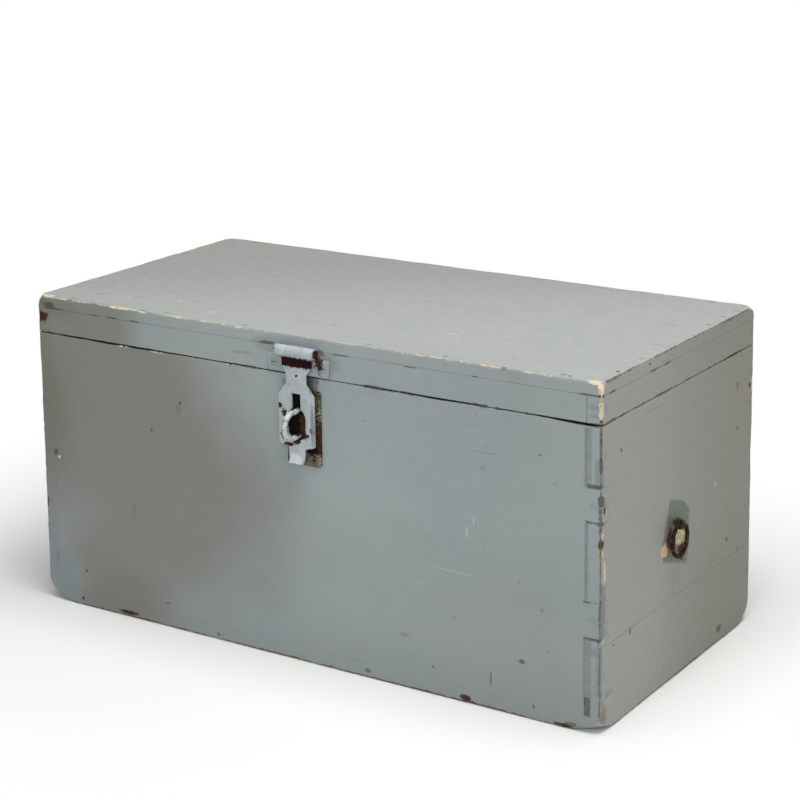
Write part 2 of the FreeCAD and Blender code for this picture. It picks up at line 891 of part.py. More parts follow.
INTO = {
    "down": Rotation(),
    "up": Rotation(Vector(1, 0, 0), 180),
    "back": Rotation(Vector(1, 0, 0), 90),
    "front": Rotation(Vector(1, 0, 0), -90),
    "right": Rotation(Vector(0, 1, 0), -90),
    "left": Rotation(Vector(0, 1, 0), 90),
}


def group(name, fastener, places):
    """One node of like fasteners. Each place is a point and the way that it is driven."""
    copies = []
    for x, y, z, way in places:
        copy = fastener.Shape.copy()
        copy.Placement = Placement(Vector(value(x), value(y), value(z)), INTO[way])
        copies.append(copy)
    feature = doc.addObject("Part::Feature", "Fasteners")
    feature.Shape = Part.makeCompound(copies)
    node(feature, name)


LID_MIDDLE_NAIL_SHARES = (-0.2, 0.24)
LID_END_NAIL_SHARES = (-0.22, 0.22)
BOTTOM_NAIL_SHARES = (-0.42, -0.2, 0.04, 0.24, 0.43)
BOTTOM_END_NAIL_SHARES = (-0.3, 0.0, 0.32)


def build_screws(screw):
    row = "hinge_pivot_y - hinge_barrel_radius - barrel_standoff - hinge_leaf_width / 2"
    places = [
        (f"{side} * hinge_middle + {share} * hinge_length", row)
        for side in (-1, 1)
        for share in HINGE_SCREW_SHARES
    ]
    low, high = "hinge_pivot_z - hinge_leaf_gap / 2", "hinge_pivot_z + hinge_leaf_gap / 2"
    group("hinge_base_screws", screw, [(x, y, low, "down") for x, y in places])
    group("hinge_lid_screws", screw, [(x, y, high, "up") for x, y in places])

    shelf = "hasp_barrel_radius + knuckle_gap + running_fit"
    row = f"(hasp_axis_z - ({shelf}) + lid_bottom + hasp_leaf_edge_gap) / 2"
    face = "-half_depth - hasp_leaf_thickness"
    group(
        "hasp_leaf_screws",
        screw,
        [
            (f"hasp_offset + {side} * {HASP_SCREW_SHARE} * hasp_leaf_length", face, row, "back")
            for side in (-1, 1)
        ],
    )
    group(
        "staple_plate_screws",
        screw,
        [
            (
                f"staple_plate_x + {x} * {PLATE_SCREW_SHARES[0]} * staple_plate_width",
                "-half_depth - staple_plate_thickness",
                f"staple_plate_z + {z} * {PLATE_SCREW_SHARES[1]} * staple_plate_height",
                "back",
            )
            for x, z in CORNERS
        ],
    )


def build_nails(nail):
    in_wall = "wall_thickness / 2"
    long_row, end_row = f"half_depth - {in_wall}", f"half_length - {in_wall}"

    lid = "lid_top - nail_sink"
    spots = [f"{share} * half_length" for share in LID_MIDDLE_NAIL_SHARES]
    for side in (-1, 1):
        beside_hinge = "hinge_middle - hinge_length / 2 - nail_room"
        by_corner = "half_length - nail_sink - nail_length - nail_room"
        spots += [f"{side} * ({beside_hinge})", f"{side} * ({by_corner})"]
    places = [(x, f"{side} * ({long_row})", lid, "down") for side in (-1, 1) for x in spots]
    places += [
        (f"{side} * ({end_row})", f"{share} * chest_depth", lid, "down")
        for side in (-1, 1)
        for share in LID_END_NAIL_SHARES
    ]
    group("lid_nails", nail, places)

    rail = "lid_bottom + lid_rail_height / 2"
    group(
        "lid_corner_nails",
        nail,
        [
            (
                f"{x} * (half_length - nail_sink)",
                f"{y} * ({long_row})",
                rail,
                "left" if x > 0 else "right",
            )
            for x, y in CORNERS
        ],
    )

    floor = "nail_sink"
    places = [
        (f"{share} * chest_length", f"{side} * ({long_row})", floor, "up")
        for side in (-1, 1)
        for share in BOTTOM_NAIL_SHARES
    ]
    places += [
        (f"{side} * ({end_row})", f"{share} * chest_depth", floor, "up")
        for side in (-1, 1)
        for share in BOTTOM_END_NAIL_SHARES
    ]
    group("bottom_nails", nail, places)

    gaps = (
        "(bottom_thickness + lower_tail - tail_height / 2) / 2",
        "(lower_tail + upper_tail) / 2",
        "(upper_tail + tail_height / 2 + base_top) / 2",
    )
    places = []
    for x, y in CORNERS:
        drive = "back" if y < 0 else "front"
        places += [
            (f"{x} * ({end_row})", f"{y} * (half_depth - nail_sink)", tail, drive)
            for tail in ("lower_tail", "upper_tail")
        ]
        drive = "left" if x > 0 else "right"
        places += [
            (f"{x} * (half_length - nail_sink)", f"{y} * ({long_row})", height, drive)
            for height in gaps
        ]
    group("corner_nails", nail, places)


build_walls()
build_ends()
build_bottom()
build_lid()
build_hinges()
build_hasp()
build_staple()
for side_name, side_sign in SIDES:
    build_ring(side_name, side_sign)
screw = screw_body()
nail = nail_body()
doc.recompute()
build_screws(screw)
build_nails(nail)
doc.recompute()

# Every object is sound before anything is written
for thing in doc.Objects:
    if "Invalid" in thing.State or "Error" in thing.State:
        raise ValueError(f"{thing.Name} ({thing.Label}) is {thing.State}")
for piece in nodes:
    if piece.Shape.isNull() or not piece.Shape.isValid():
        raise ValueError(f"{piece.Label} has no valid shape")

os.makedirs("parts", exist_ok=True)
for piece in nodes:
    piece.Shape.exportStep(f"parts/{piece.Label}.step")
    bounds, volume = piece.Shape.BoundBox, piece.Shape.Volume
    print(
        f"{piece.Label}: {len(piece.Shape.Solids)} solid(s), {volume:.0f} mm3, "
        f"x {bounds.XMin:.1f}..{bounds.XMax:.1f} y {bounds.YMin:.1f}..{bounds.YMax:.1f} "
        f"z {bounds.ZMin:.1f}..{bounds.ZMax:.1f}"
    )
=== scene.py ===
import json
import math
import random

import bmesh
import bpy
from mathutils import Matrix, Vector, noise

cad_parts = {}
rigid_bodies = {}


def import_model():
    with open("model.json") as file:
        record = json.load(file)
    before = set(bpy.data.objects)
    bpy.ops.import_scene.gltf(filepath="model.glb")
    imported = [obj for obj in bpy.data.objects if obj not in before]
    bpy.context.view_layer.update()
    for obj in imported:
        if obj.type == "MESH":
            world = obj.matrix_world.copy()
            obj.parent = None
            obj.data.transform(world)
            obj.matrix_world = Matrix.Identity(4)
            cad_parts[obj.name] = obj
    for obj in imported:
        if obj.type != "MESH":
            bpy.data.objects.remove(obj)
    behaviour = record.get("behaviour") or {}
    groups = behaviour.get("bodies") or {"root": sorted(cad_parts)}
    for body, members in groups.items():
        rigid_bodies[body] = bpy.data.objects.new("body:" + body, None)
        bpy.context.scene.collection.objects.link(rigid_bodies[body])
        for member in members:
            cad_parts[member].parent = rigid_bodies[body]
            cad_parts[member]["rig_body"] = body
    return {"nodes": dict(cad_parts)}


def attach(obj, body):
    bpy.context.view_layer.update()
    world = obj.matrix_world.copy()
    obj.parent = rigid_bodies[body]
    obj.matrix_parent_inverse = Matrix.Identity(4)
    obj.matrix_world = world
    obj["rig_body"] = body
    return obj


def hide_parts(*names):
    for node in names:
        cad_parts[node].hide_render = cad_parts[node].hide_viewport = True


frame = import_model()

# The looks of a painted wooden storage chest. Lengths in the tables are in millimetres, in
# the model's own frame: X along the chest, Y from front to back, Z up from the floor.

MM = 0.001
HALF_X, HALF_Y = 310.0, 155.0
BASE_TOP, LID_BOTTOM, LID_TOP = 275.0, 276.0, 312.0
GAP = LID_BOTTOM - BASE_TOP
LID_SEAM = (BASE_TOP + LID_BOTTOM) / 2
FACES = (HALF_X, HALF_Y, LID_TOP)

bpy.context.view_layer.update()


def srgb(red, green, blue):
    """A colour from its 0 to 255 values, as the shader takes it."""
    out = []
    for part in (red, green, blue):
        part /= 255
        out.append(part / 12.92 if part <= 0.04045 else ((part + 0.055) / 1.055) ** 2.4)
    return (*out, 1.0)


# Shader building


class Tree:
    """A node tree, built by calls that return sockets."""

    def __init__(self, owner):
        owner.use_nodes = True
        self.tree = owner.node_tree
        self.tree.nodes.clear()

    def add(self, kind, inputs=(), **settings):
        made = self.tree.nodes.new(kind)
        for key, item in settings.items():
            setattr(made, key, item)
        for key, item in dict(inputs).items():
            self.put(made.inputs[key], item)
        return made

    def put(self, socket, item):
        if isinstance(item, bpy.types.NodeSocket):
            self.tree.links.new(item, socket)
        else:
            socket.default_value = item

    def math(self, operation, *items, clamp=False):
        made = self.add("ShaderNodeMath", enumerate(items), operation=operation, use_clamp=clamp)
        return made.outputs[0]

    def times(self, first, second):
        return self.math("MULTIPLY", first, second)

    def fit(self, value, share, start, clamp=False):
        """The value times the share, added to the start."""
        return self.math("MULTIPLY_ADD", value, share, start, clamp=clamp)

    def plus(self, first, second):
        return self.math("ADD", first, second)

    def less(self, first, second):
        return self.math("SUBTRACT", first, second)

    def most(self, first, second):
        return self.math("MAXIMUM", first, second)

    def least(self, first, second):
        return self.math("MINIMUM", first, second)

    def vector(self, operation, *items, out=0):
        return self.add("ShaderNodeVectorMath", enumerate(items), operation=operation).outputs[out]

    def places(self):
        """The place on the object at rest, in millimetres."""
        where = {0: self.add("ShaderNodeTexCoord").outputs["Object"], "Scale": 1 / MM}
        return self.add("ShaderNodeVectorMath", where, operation="SCALE").outputs[0]

    def split(self, vector):
        return tuple(self.add("ShaderNodeSeparateXYZ", {0: vector}).outputs)

    def stretch(self, vector, x=1.0, y=1.0, z=1.0):
        return self.vector("MULTIPLY", vector, (x, y, z))

    def noise(self, vector, size, detail=3.0, rough=0.55, distort=0.0, shift=0.0):
        """Noise whose lumps are about that many millimetres across."""
        if shift:
            vector = self.vector("ADD", vector, (shift, shift * 0.7, -shift))
        inputs = {"Vector": vector, "Scale": 1 / size, "Detail": detail, "Roughness": rough}
        made = self.add("ShaderNodeTexNoise", {**inputs, "Distortion": distort})
        return made.outputs["Fac"]

    def cells(self, vector, size):
        """How far the nearest of some scattered points is, in their usual spacing."""
        made = self.add("ShaderNodeTexVoronoi", {"Vector": vector, "Scale": 1 / size})
        return made.outputs["Distance"]

    def step(self, value, low, high, to_low=0.0, to_high=1.0):
        """A smooth rise from low to high. Low may be the greater of the two."""
        if low > high:
            low, high, to_low, to_high = high, low, to_high, to_low
        inputs = {"Value": value, "From Min": low, "From Max": high}
        inputs.update({"To Min": to_low, "To Max": to_high})
        made = self.add("ShaderNodeMapRange", inputs, interpolation_type="SMOOTHSTEP")
        return made.outputs["Result"]

    def mix(self, share, first, second):
        made = self.add("ShaderNodeMix", {"Factor": share}, data_type="RGBA")
        colours = [s for s in made.inputs if s.type == "RGBA"]
        self.put(colours[0], first)
        self.put(colours[1], second)
        return next(s for s in made.outputs if s.type == "RGBA")

    def coat(self, colour, share, strength, tone):
        """The tone over the colour, as strongly as the share times the strength."""
        return self.mix(self.times(share, strength), colour, tone)

    def blobs(self, vector, table):
        """How deep inside the nearest of a table of ellipsoids, 1 at a middle, 0 at an edge."""
        deepest = None
        for x, y, z, size_x, size_y, size_z in table:
            share = (1 / size_x, 1 / size_y, 1 / size_z)
            start = (-x / size_x, -y / size_y, -z / size_z)
            inside = self.vector("MULTIPLY_ADD", vector, share, start)
            deep = self.less(1.0, self.vector("LENGTH", inside, out="Value"))
            deepest = deep if deepest is None else self.most(deepest, deep)
        return deepest

    def zone(self, vector, table, soft):
        """1 inside any of a table of boxes, falling to 0 that many millimetres outside."""
        nearest = None
        for x, y, z, half_x, half_y, half_z in table:
            away = self.vector("ABSOLUTE", self.vector("SUBTRACT", vector, (x, y, z)))
            a, b, c = self.split(self.vector("SUBTRACT", away, (half_x, half_y, half_z)))
            outside = self.most(self.most(a, b), c)
            nearest = outside if nearest is None else self.least(nearest, outside)
        return self.step(nearest, soft, 0.0)

    def shown_rays(self):
        """1 for a ray from the camera, a mirror or glass, which sees the background."""
        path = self.add("ShaderNodeLightPath").outputs
        shown = self.most(path["Is Camera Ray"], path["Is Glossy Ray"])
        return self.most(shown, path["Is Transmission Ray"])

    def show(self, output, share, first, second):
        """Sends a mix of two shader nodes to a new output node."""
        inputs = {0: share, 1: first.outputs[0], 2: second.outputs[0]}
        mixed = self.add("ShaderNodeMixShader", inputs).outputs[0]
        self.add(output, {0: mixed})


class Paint(Tree):
    """A material's node tree around one Principled shader."""

    def __init__(self, name):
        self.material = bpy.data.materials.new(name)
        super().__init__(self.material)
        self.shader = self.add("ShaderNodeBsdfPrincipled")

    def surface(self, colour, rough, metallic=0.0, gloss=0.5):
        inputs = {"Base Color": colour, "Roughness": rough, "Metallic": metallic}
        for key, item in {**inputs, "Specular IOR Level": gloss}.items():
            self.put(self.shader.inputs[key], item)

    def finish(self, colour, rough, height, depth, metallic=0.0, gloss=0.5):
        """The finished material. Its bumps are that many millimetres deep."""
        self.surface(colour, rough, metallic, gloss)
        bump = self.add("ShaderNodeBump", {"Distance": depth * MM, "Height": height})
        self.put(self.shader.inputs["Normal"], bump.outputs[0])
        self.add("ShaderNodeOutputMaterial", {0: self.shader.outputs[0]})
        return self.material


def face_distances(tree, x, y, z):
    """How far a place lies from the chest's ends, its long sides and its level edges."""
    from_end = tree.less(HALF_X, tree.math("ABSOLUTE", x))
    from_side = tree.less(HALF_Y, tree.math("ABSOLUTE", y))
    seam = tree.math("ABSOLUTE", tree.less(z, LID_SEAM))
    from_seam = tree.less(seam, GAP / 2)
    ends = tree.least(z, tree.less(LID_TOP, z))
    return from_end, from_side, tree.least(ends, from_seam)


def middle_of_three(tree, a, b, c):
    """The second of three values by size: on a box, how far the nearest edge is."""
    low = tree.least(a, b)
    high = tree.most(a, b)
    return tree.most(low, tree.least(high, c))


# Wear on the paint: each row is a place, then its reach along each axis

MARK_DEPTH = 3


def on_front(*rows):
    """Rows of x and z and the reach along each, on the front face."""
    return [(x, -HALF_Y, z, size_x, MARK_DEPTH, size_z) for x, z, size_x, size_z in rows]


def on_end(*rows):
    """Rows of y and z and the reach along each, on the right end."""
    return [(HALF_X, y, z, MARK_DEPTH, size_y, size_z) for y, z, size_y, size_z in rows]


def on_top(*rows):
    """Rows of x and y and the reach along each, on the lid."""
    return [(x, y, LID_TOP, size_x, size_y, MARK_DEPTH) for x, y, size_x, size_y in rows]


BARE_CHIPS = [
    *on_end(
        (-31.5, 128.5, 10.5, 8), (-0.6, 133, 11.5, 11), (153, 236, 3.4, 9),
    ),
    (-291, -155, 150, 2.4, 2, 2.2), (-299, -152, 312, 11, 6, 1.6),
    (-281, -155, 312, 14, 1.5, 1), (-208, -155, 311.6, 15, 3.6, 1.8),
    (-191, -154.6, 312, 8, 2.4, 1.2), (-139, -155, 312, 20, 1.8, 1.1),
    (-98, -155, 312, 16, 1.2, 0.8), (149, -155, 312, 9, 1.6, 1),
    (203, -155, 312, 12, 2, 1.2), (240, -155, 312, 10, 1.2, 0.8),
    (302, -153, 312, 8, 5, 2.6), (309, -153.5, 306.5, 4.6, 4.2, 7),
    (309.5, -154, 288, 3.4, 3.4, 9.5), (310, -151.5, 178.5, 2.4, 3, 2.4),
    (310, -152.5, 162.5, 2.4, 3, 2.6), (310, -147.8, 145, 2.4, 2.4, 13),
    (-203, -155, 274.4, 6.5, 2, 1.3), (-163, -155, 274.2, 9, 2, 1.1),
    (-76, -155, 274.6, 6, 2, 1.2), (308, 152, 311.5, 7, 6, 3), (-309, 80, 312, 3, 22, 2),
    (-309, -60, 312, 2.4, 17, 2), (-120, 155, 312, 30, 2, 2), (160, 155, 312, 24, 2, 1.6),
    (-309, 152, 200, 3, 3, 14),
]

# Which of the bare wood on the right end is salmon and which is straw
SALMON = [(310, -30, 129, 4, 13, 11)]
STRAW = [(310, 0, 133, 4, 15, 15)]

RUST_SPOTS = [
    *on_front(
        (177, 4, 7.5, 4.2), (-208, 4, 15, 3.2), (-267, 7, 2.6, 2.4), (276, 2, 14, 2),
        (303, 5, 7, 3.4),
    ),
    *on_end(
        (-21.5, 135, 10, 15), (2, 117, 12, 10),
    ),
    (-306, -155, 291, 12, 4, 7.5), (309.5, -154, 300.6, 5.5, 4, 1.7),
    (309.5, -154.5, 279, 3, 3, 1.4), (309.5, -153, 171, 4, 4.4, 4.8),
    (304, -115.5, 312, 2.4, 3.4, 2), (276, -148, 312, 3, 1.6, 2), (310, -149, 200, 2, 2, 5),
    (310, 148, 236, 2.4, 2.6, 4),
]

DARK_MARKS = [
    *on_front(
        (17, 266, 9, 19), (24, 292, 4, 12), (-98, 5, 2, 1.8), (73, 6.4, 3.6, 2.6),
        (283, 4.4, 7.5, 2.6), (-308, 101, 2, 7), (297, 300.5, 13, 1.1), (-286, 300.8, 9, 1.2),
        (-240, 300.6, 8, 0.9), (-217, 300.6, 9, 1), (-188, 300.6, 9, 1.2),
        (-36, 300.5, 9, 1), (-33, 301.5, 10, 2.2), (-296, 303, 9, 5), (48, 300, 15, 0.9),
        (122, 299.5, 9, 0.8), (188, 300.5, 6, 0.7), (-136, 228, 2.4, 2.8),
        (-172, 196, 1.8, 2.8), (-294.5, 154.5, 3.6, 4.2), (-309.5, 206, 2.4, 7),
        (26, 299, 6, 4), (-261, 37, 2.6, 2.4), (-158, 24, 3.6, 1.2), (252, 241, 2, 1.2),
        (246, 12, 1.4, 2.4), (203, 27, 1.2, 8), (234, 51, 4, 2.6), (143, 26, 2, 1.6),
    ),
    *on_end(
        (119, 243, 2.4, 4.6), (122, 201, 3.8, 2.2), (-67, 308, 3, 2), (-99, 76, 2.2, 4.6),
        (-131, 74, 2.6, 1.8), (88, 13, 7, 4.5), (101, 97, 3, 2.4), (-119, 245, 2.6, 2.4),
    ),
    (-179, -152.5, 312, 3.4, 4.2, 2), (216, -154, 312, 3.2, 3, 2),
    (310, -58, 300.5, 2, 9, 1.5), (310, -33, 300.5, 2, 9, 1.4), (310, -136, 300.5, 2, 8, 1.5),
    (-310, -80, 120, 3, 2.4, 1.8), (-310, 60, 210, 3, 2.6, 1.6), (-180, 155, 80, 2.6, 3, 1.6),
    (60, 155, 190, 3, 3, 1.8),
]

FAINT_MARKS = [
    *on_front(
        (-14, 267, 4, 6), (-19, 240, 3, 26), (-299, 46, 3, 12), (34, 290, 18, 12),
        (195, 220, 3, 2.6), (165, 77, 3.6, 2.6), (113, 50, 7, 3.4), (254, 102, 2.6, 2.6),
        (-138, 222, 5, 9), (-197, 110, 3, 11), (197, 234, 18, 0.8), (303, 290, 8, 3.2),
        (303, 283, 8, 2.4), (-61, 288, 14, 2.2), (-34, 300, 20, 8),
    ),
    *on_end(
        (-140, 33, 12, 5), (-151, 30, 5, 10), (-60, 265, 30, 1.2), (64, 85, 3, 4),
        (127, 79, 5, 5), (-13, 86, 1.8, 13), (-148, 205, 5, 8), (-151, 110, 8, 34),
    ),
    *on_top(
        (-218, -112, 8, 3), (-157, -100, 8, 2.4), (11, -107.5, 9, 2.6), (-260, -121, 8, 2.4),
        (207, -124, 8, 3), (277, 51, 9, 2.4), (292, -19, 8, 3), (303, 102, 7, 4),
        (303, 129, 5, 4),
    ),
    (-60, 155, 240, 12, 3, 3), (200, 155, 110, 7, 3, 9), (-310, 20, 90, 3, 26, 4),
]

PALE_MARKS = [
    *on_front(
        (179, 159, 1.4, 8), (186, 170, 1.2, 6), (165, 120, 30, 0.7),
    ),
    *on_top(
        (-225, -119, 4, 3), (-172, -104, 5, 3), (-120, -124, 6, 3), (120, -80, 9, 2.4),
    ),
    (310, -147, 275.4, 2, 6, 1.6), (310, -150, 84, 2, 4, 2.2), (310, 74, 159, 3, 3.4, 3.4),
]

# Where edges have lost more paint, as boxes: place, then half sizes
WORN_ZONES = [
    (310, -155, 200, 4, 4, 72), (310, -155, 60, 4, 4, 60), (0, -155, 0, 280, 5, 5),
    (310, 0, 0, 5, 150, 5), (310, 0, 312, 3, 150, 3),
]
PALE_ZONES = [
    (0, -155, 312, 312, 5, 4), (310, -155, 296, 6, 6, 16), (308, 152, 312, 8, 8, 4),
]
BROWN_ZONES = [
    (0, -155, 0, 300, 6, 8), (310, 0, 0, 6, 160, 8), (310, -155, 8, 8, 8, 12),
    (310, -155, 170, 5, 5, 6), (310, 155, 230, 6, 6, 30),
]

# Tan smears at corners and beside the ring
TAN_SMEARS = [
    (310, -148, 15, 4, 8, 13), (310, 14, 122, 4, 6, 10), (-304, -155, 306, 9, 4, 5),
]

# Where paint has sunk and dirt has gathered over the box joints, as boxes
JOINT_SHADE = [
    *on_front(
        (297.2, 246, 2.2, 25), (296.6, 155, 0.8, 35), (297.6, 58, 2.6, 26),
        (304, 74, 6, 1.4), (308, 233, 2.4, 11),
    ),
    (310, -154, 56, 2, 2, 18), (310, -150, 112, 3, 3, 23),
]
JOINT_DARK = [
    *on_front(
        (14.5, 269, 3, 9), (303.5, 221.6, 6, 1.4), (303, 190, 6.4, 0.3),
        (297, 118.6, 2.8, 0.4), (302, 86, 7.4, 0.8), (298, 24, 2.6, 8), (297, 274.6, 12, 0.5),
    ),
    (310, -155, 252, 1.4, 1.4, 17), (310, -153, 209, 2.4, 3.4, 4),
    (310, -151.5, 188.6, 3, 3.6, 0.7),
]

# Seams whose groove shows dark, as boxes
DARK_SEAMS = [
    *on_front(
        (296, 248, 2.4, 27), (303, 222, 8, 2), (303, 189, 8, 2), (296, 164, 2.4, 26),
        (303, 87, 8, 2), (296, 20, 2.4, 22), (296, 288, 16, 13),
    ),
    *on_end(
        (-141, 300.5, 14, 2), (-46, 300.5, 30, 2), (-120, 77, 26, 6), (122, 77, 28, 6),
    ),
]

# The broad stain on the front, the places it left clean, and its darkest parts
STAINED = [
    (-222, -155, 205, 165, 60, 190), (-165, -155, 140, 165, 60, 150),
    (-215, -155, 50, 105, 60, 105), (-330, -155, 215, 100, 60, 150),
]
UNSTAINED = [
    (-312, -155, 62, 25, 40, 62), (-292, -155, 32, 31, 40, 38), (-95, -155, 20, 80, 40, 44),
]
SOOTED = [
    (-316, -155, 200, 62, 40, 150), (-215, -155, 18, 60, 40, 42), (-312, -155, 300, 66, 14, 22),
]

# An older fitting's ghost on the right end: each side's direction along Y and Z, and where
# it begins
GHOST_SIDES = [
    (1, -0.344, -82.5), (1, 0.5, 24.3), (0.319, 1, 106.6), (-1, -0.059, -25.9),
    (-1, 0.346, 21.9), (-0.294, -1, -165.7), (-0.738, -1, -167.3),
]

PAINT = srgb(150, 161, 164)
# Warmer tints of the paint for the ends and the lid: painted light, for the warmer light on them
WARM_LIT_PAINT = srgb(153, 154, 149)
TOP_LIT_PAINT = srgb(156, 159, 156)
STAIN = srgb(125, 124, 116)
SOOT = srgb(112, 111, 103)
CREAM = srgb(214, 200, 172)
TAN = srgb(188, 160, 122)
SALMON_WOOD = srgb(212, 172, 132)
RUST = srgb(76, 34, 18)
DARK = srgb(44, 32, 27)
OLD_GREEN = srgb(86, 101, 84)


def painted_wood(name="painted_wood", seam=False):
    """Old blue-grey paint. On a seam, dirt lies in the narrow groove."""
    tree = Paint(name)
    at = tree.places()
    x, y, z = tree.split(at)
    from_end, from_side, from_level = face_distances(tree, x, y, z)
    edge = middle_of_three(tree, from_end, from_side, from_level)

    broad = tree.noise(at, 150, 2, 0.5)
    cloudy = tree.noise(at, 42, 3, 0.55, shift=300)
    fine = tree.noise(at, 5, 4, 0.6)
    along_x = tree.noise(tree.stretch(at, 0.045, 1, 1), 3.2, 3, 0.6)
    along_y = tree.noise(tree.stretch(at, 1, 0.045, 1), 3.2, 3, 0.6, shift=80)
    end = tree.step(from_end, 1.5, 0.3)
    top = tree.step(z, LID_TOP - 1.2, LID_TOP - 0.4)
    streaks = tree.mix(end, along_x, along_y)

    # The paint, a little warmer on the ends and on top: painted light, for warmer light there
    colour = tree.mix(tree.step(broad, 0.35, 0.65), PAINT, srgb(156, 165, 165))
    colour = tree.mix(end, colour, WARM_LIT_PAINT)
    colour = tree.coat(colour, top, 0.9, TOP_LIT_PAINT)
    colour = tree.mix(tree.step(cloudy, 0.5, 0.75, 0, 0.3), colour, srgb(141, 149, 147))
    colour = tree.mix(tree.step(streaks, 0.48, 0.8, 0, 0.22), colour, srgb(138, 145, 144))
    colour = tree.mix(tree.step(streaks, 0.44, 0.2, 0, 0.22), colour, srgb(170, 177, 176))
    colour = tree.mix(tree.step(fine, 0.55, 0.8, 0, 0.18), colour, srgb(126, 132, 130))

    # A broad brown-grey stain over the left half of the front, with soft edges
    ragged = tree.less(tree.noise(at, 75, 3, 0.55, shift=40), 0.5)
    front = tree.step(y, -151, -153.6)
    stain = tree.fit(ragged, 0.5, tree.blobs(at, STAINED))
    stain = tree.times(tree.step(stain, -0.25, 0.6), front)
    clean = tree.fit(ragged, 0.4, tree.blobs(at, UNSTAINED))
    stain = tree.times(stain, tree.step(clean, 0, 0.6, 1, 0.5))
    on_lid = tree.times(tree.step(z, 274, 277), tree.step(x, -215, -170, 0, 0.85))
    stain = tree.times(stain, tree.less(1, on_lid))
    colour = tree.coat(colour, stain, 0.92, STAIN)
    blue = tree.times(tree.step(clean, 0, 0.6), tree.step(x, -235, -265))
    blue = tree.times(tree.times(blue, front), 0.7)
    colour = tree.mix(blue, colour, srgb(121, 135, 142))
    soot = tree.step(tree.fit(ragged, 0.5, tree.blobs(at, SOOTED)), -0.05, 0.75)
    soot = tree.times(tree.times(soot, front), 0.9)
    colour = tree.mix(soot, colour, SOOT)

    # Painted shade: darker low down and rightwards on the front, backwards on the ends and lid
    low = tree.plus(tree.step(z, 190, 100, 0, 0.22), tree.step(z, 80, 0, 0, 0.22))
    low = tree.plus(low, tree.step(x, 40, 250, 0, 0.22))
    colour = tree.coat(colour, low, front, srgb(126, 132, 130))
    shade = tree.times(tree.step(y, -120, 130), end)
    colour = tree.coat(colour, shade, 0.85, srgb(129, 128, 119))
    # More painted shade, low down towards the back of the ends
    low = tree.times(tree.step(z, 160, 60), tree.step(y, -70, 60))
    low = tree.times(tree.times(low, end), 0.32)
    colour = tree.mix(low, colour, srgb(116, 115, 106))
    # Painted shade on the lid, deepening towards the back and the left
    far_shade = tree.fit(x, -0.55, y)
    far_shade = tree.times(tree.step(far_shade, -120, 200), top)
    colour = tree.coat(colour, far_shade, 0.78, srgb(131, 133, 129))

    # The ghost of an older fitting, where an earlier green coat shows
    wobble = tree.times(tree.less(fine, 0.5), 6)
    ghost = tree.times(tree.step(x, 300, 308), end)
    for along_y_axis, along_z_axis, base in GHOST_SIDES:
        side = tree.fit(y, along_y_axis, wobble)
        side = tree.fit(z, along_z_axis, side)
        ghost = tree.times(ghost, tree.step(side, base - 1.4, base + 1.4))
    green = tree.mix(tree.step(fine, 0.35, 0.65), OLD_GREEN, srgb(100, 110, 96))
    colour = tree.coat(colour, ghost, 0.92, green)

    # Faint, pale and dark marks
    rough_edge = tree.times(tree.less(fine, 0.5), 1.3)
    faint = tree.step(tree.plus(tree.blobs(at, FAINT_MARKS), rough_edge), -0.1, 0.7)
    colour = tree.coat(colour, faint, 0.3, srgb(88, 90, 85))
    pale = tree.step(tree.plus(tree.blobs(at, PALE_MARKS), rough_edge), 0, 0.6)
    colour = tree.coat(colour, pale, 0.42, srgb(200, 198, 190))
    mark = tree.step(tree.plus(tree.blobs(at, DARK_MARKS), rough_edge), 0, 0.45)
    mark_strength = tree.step(cloudy, 0.3, 0.7, 0.55, 0.8)
    colour = tree.coat(colour, mark, mark_strength, srgb(66, 64, 60))

    smear = tree.step(tree.plus(tree.blobs(at, TAN_SMEARS), rough_edge), 0, 0.7)
    colour = tree.coat(colour, smear, 0.75, srgb(114, 100, 74))

    # Sunk paint and dirt along the box joints
    ragged_line = tree.step(fine, 0.3, 0.6, 0.55, 1)
    sunk = tree.times(tree.zone(at, JOINT_SHADE, 2.6), ragged_line)
    colour = tree.coat(colour, sunk, 0.5, srgb(100, 106, 107))
    dirty = tree.times(tree.zone(at, JOINT_DARK, 1), ragged_line)
    colour = tree.coat(colour, dirty, 0.72, srgb(62, 60, 54))

    # Small dings all over
    ding = tree.cells(at, 23)
    some = tree.step(tree.noise(at, 37, 1, 0.5, shift=500), 0.56, 0.62)
    ding = tree.times(tree.step(ding, 0.06, 0.035), some)
    colour = tree.coat(colour, ding, 0.5, srgb(98, 98, 94))

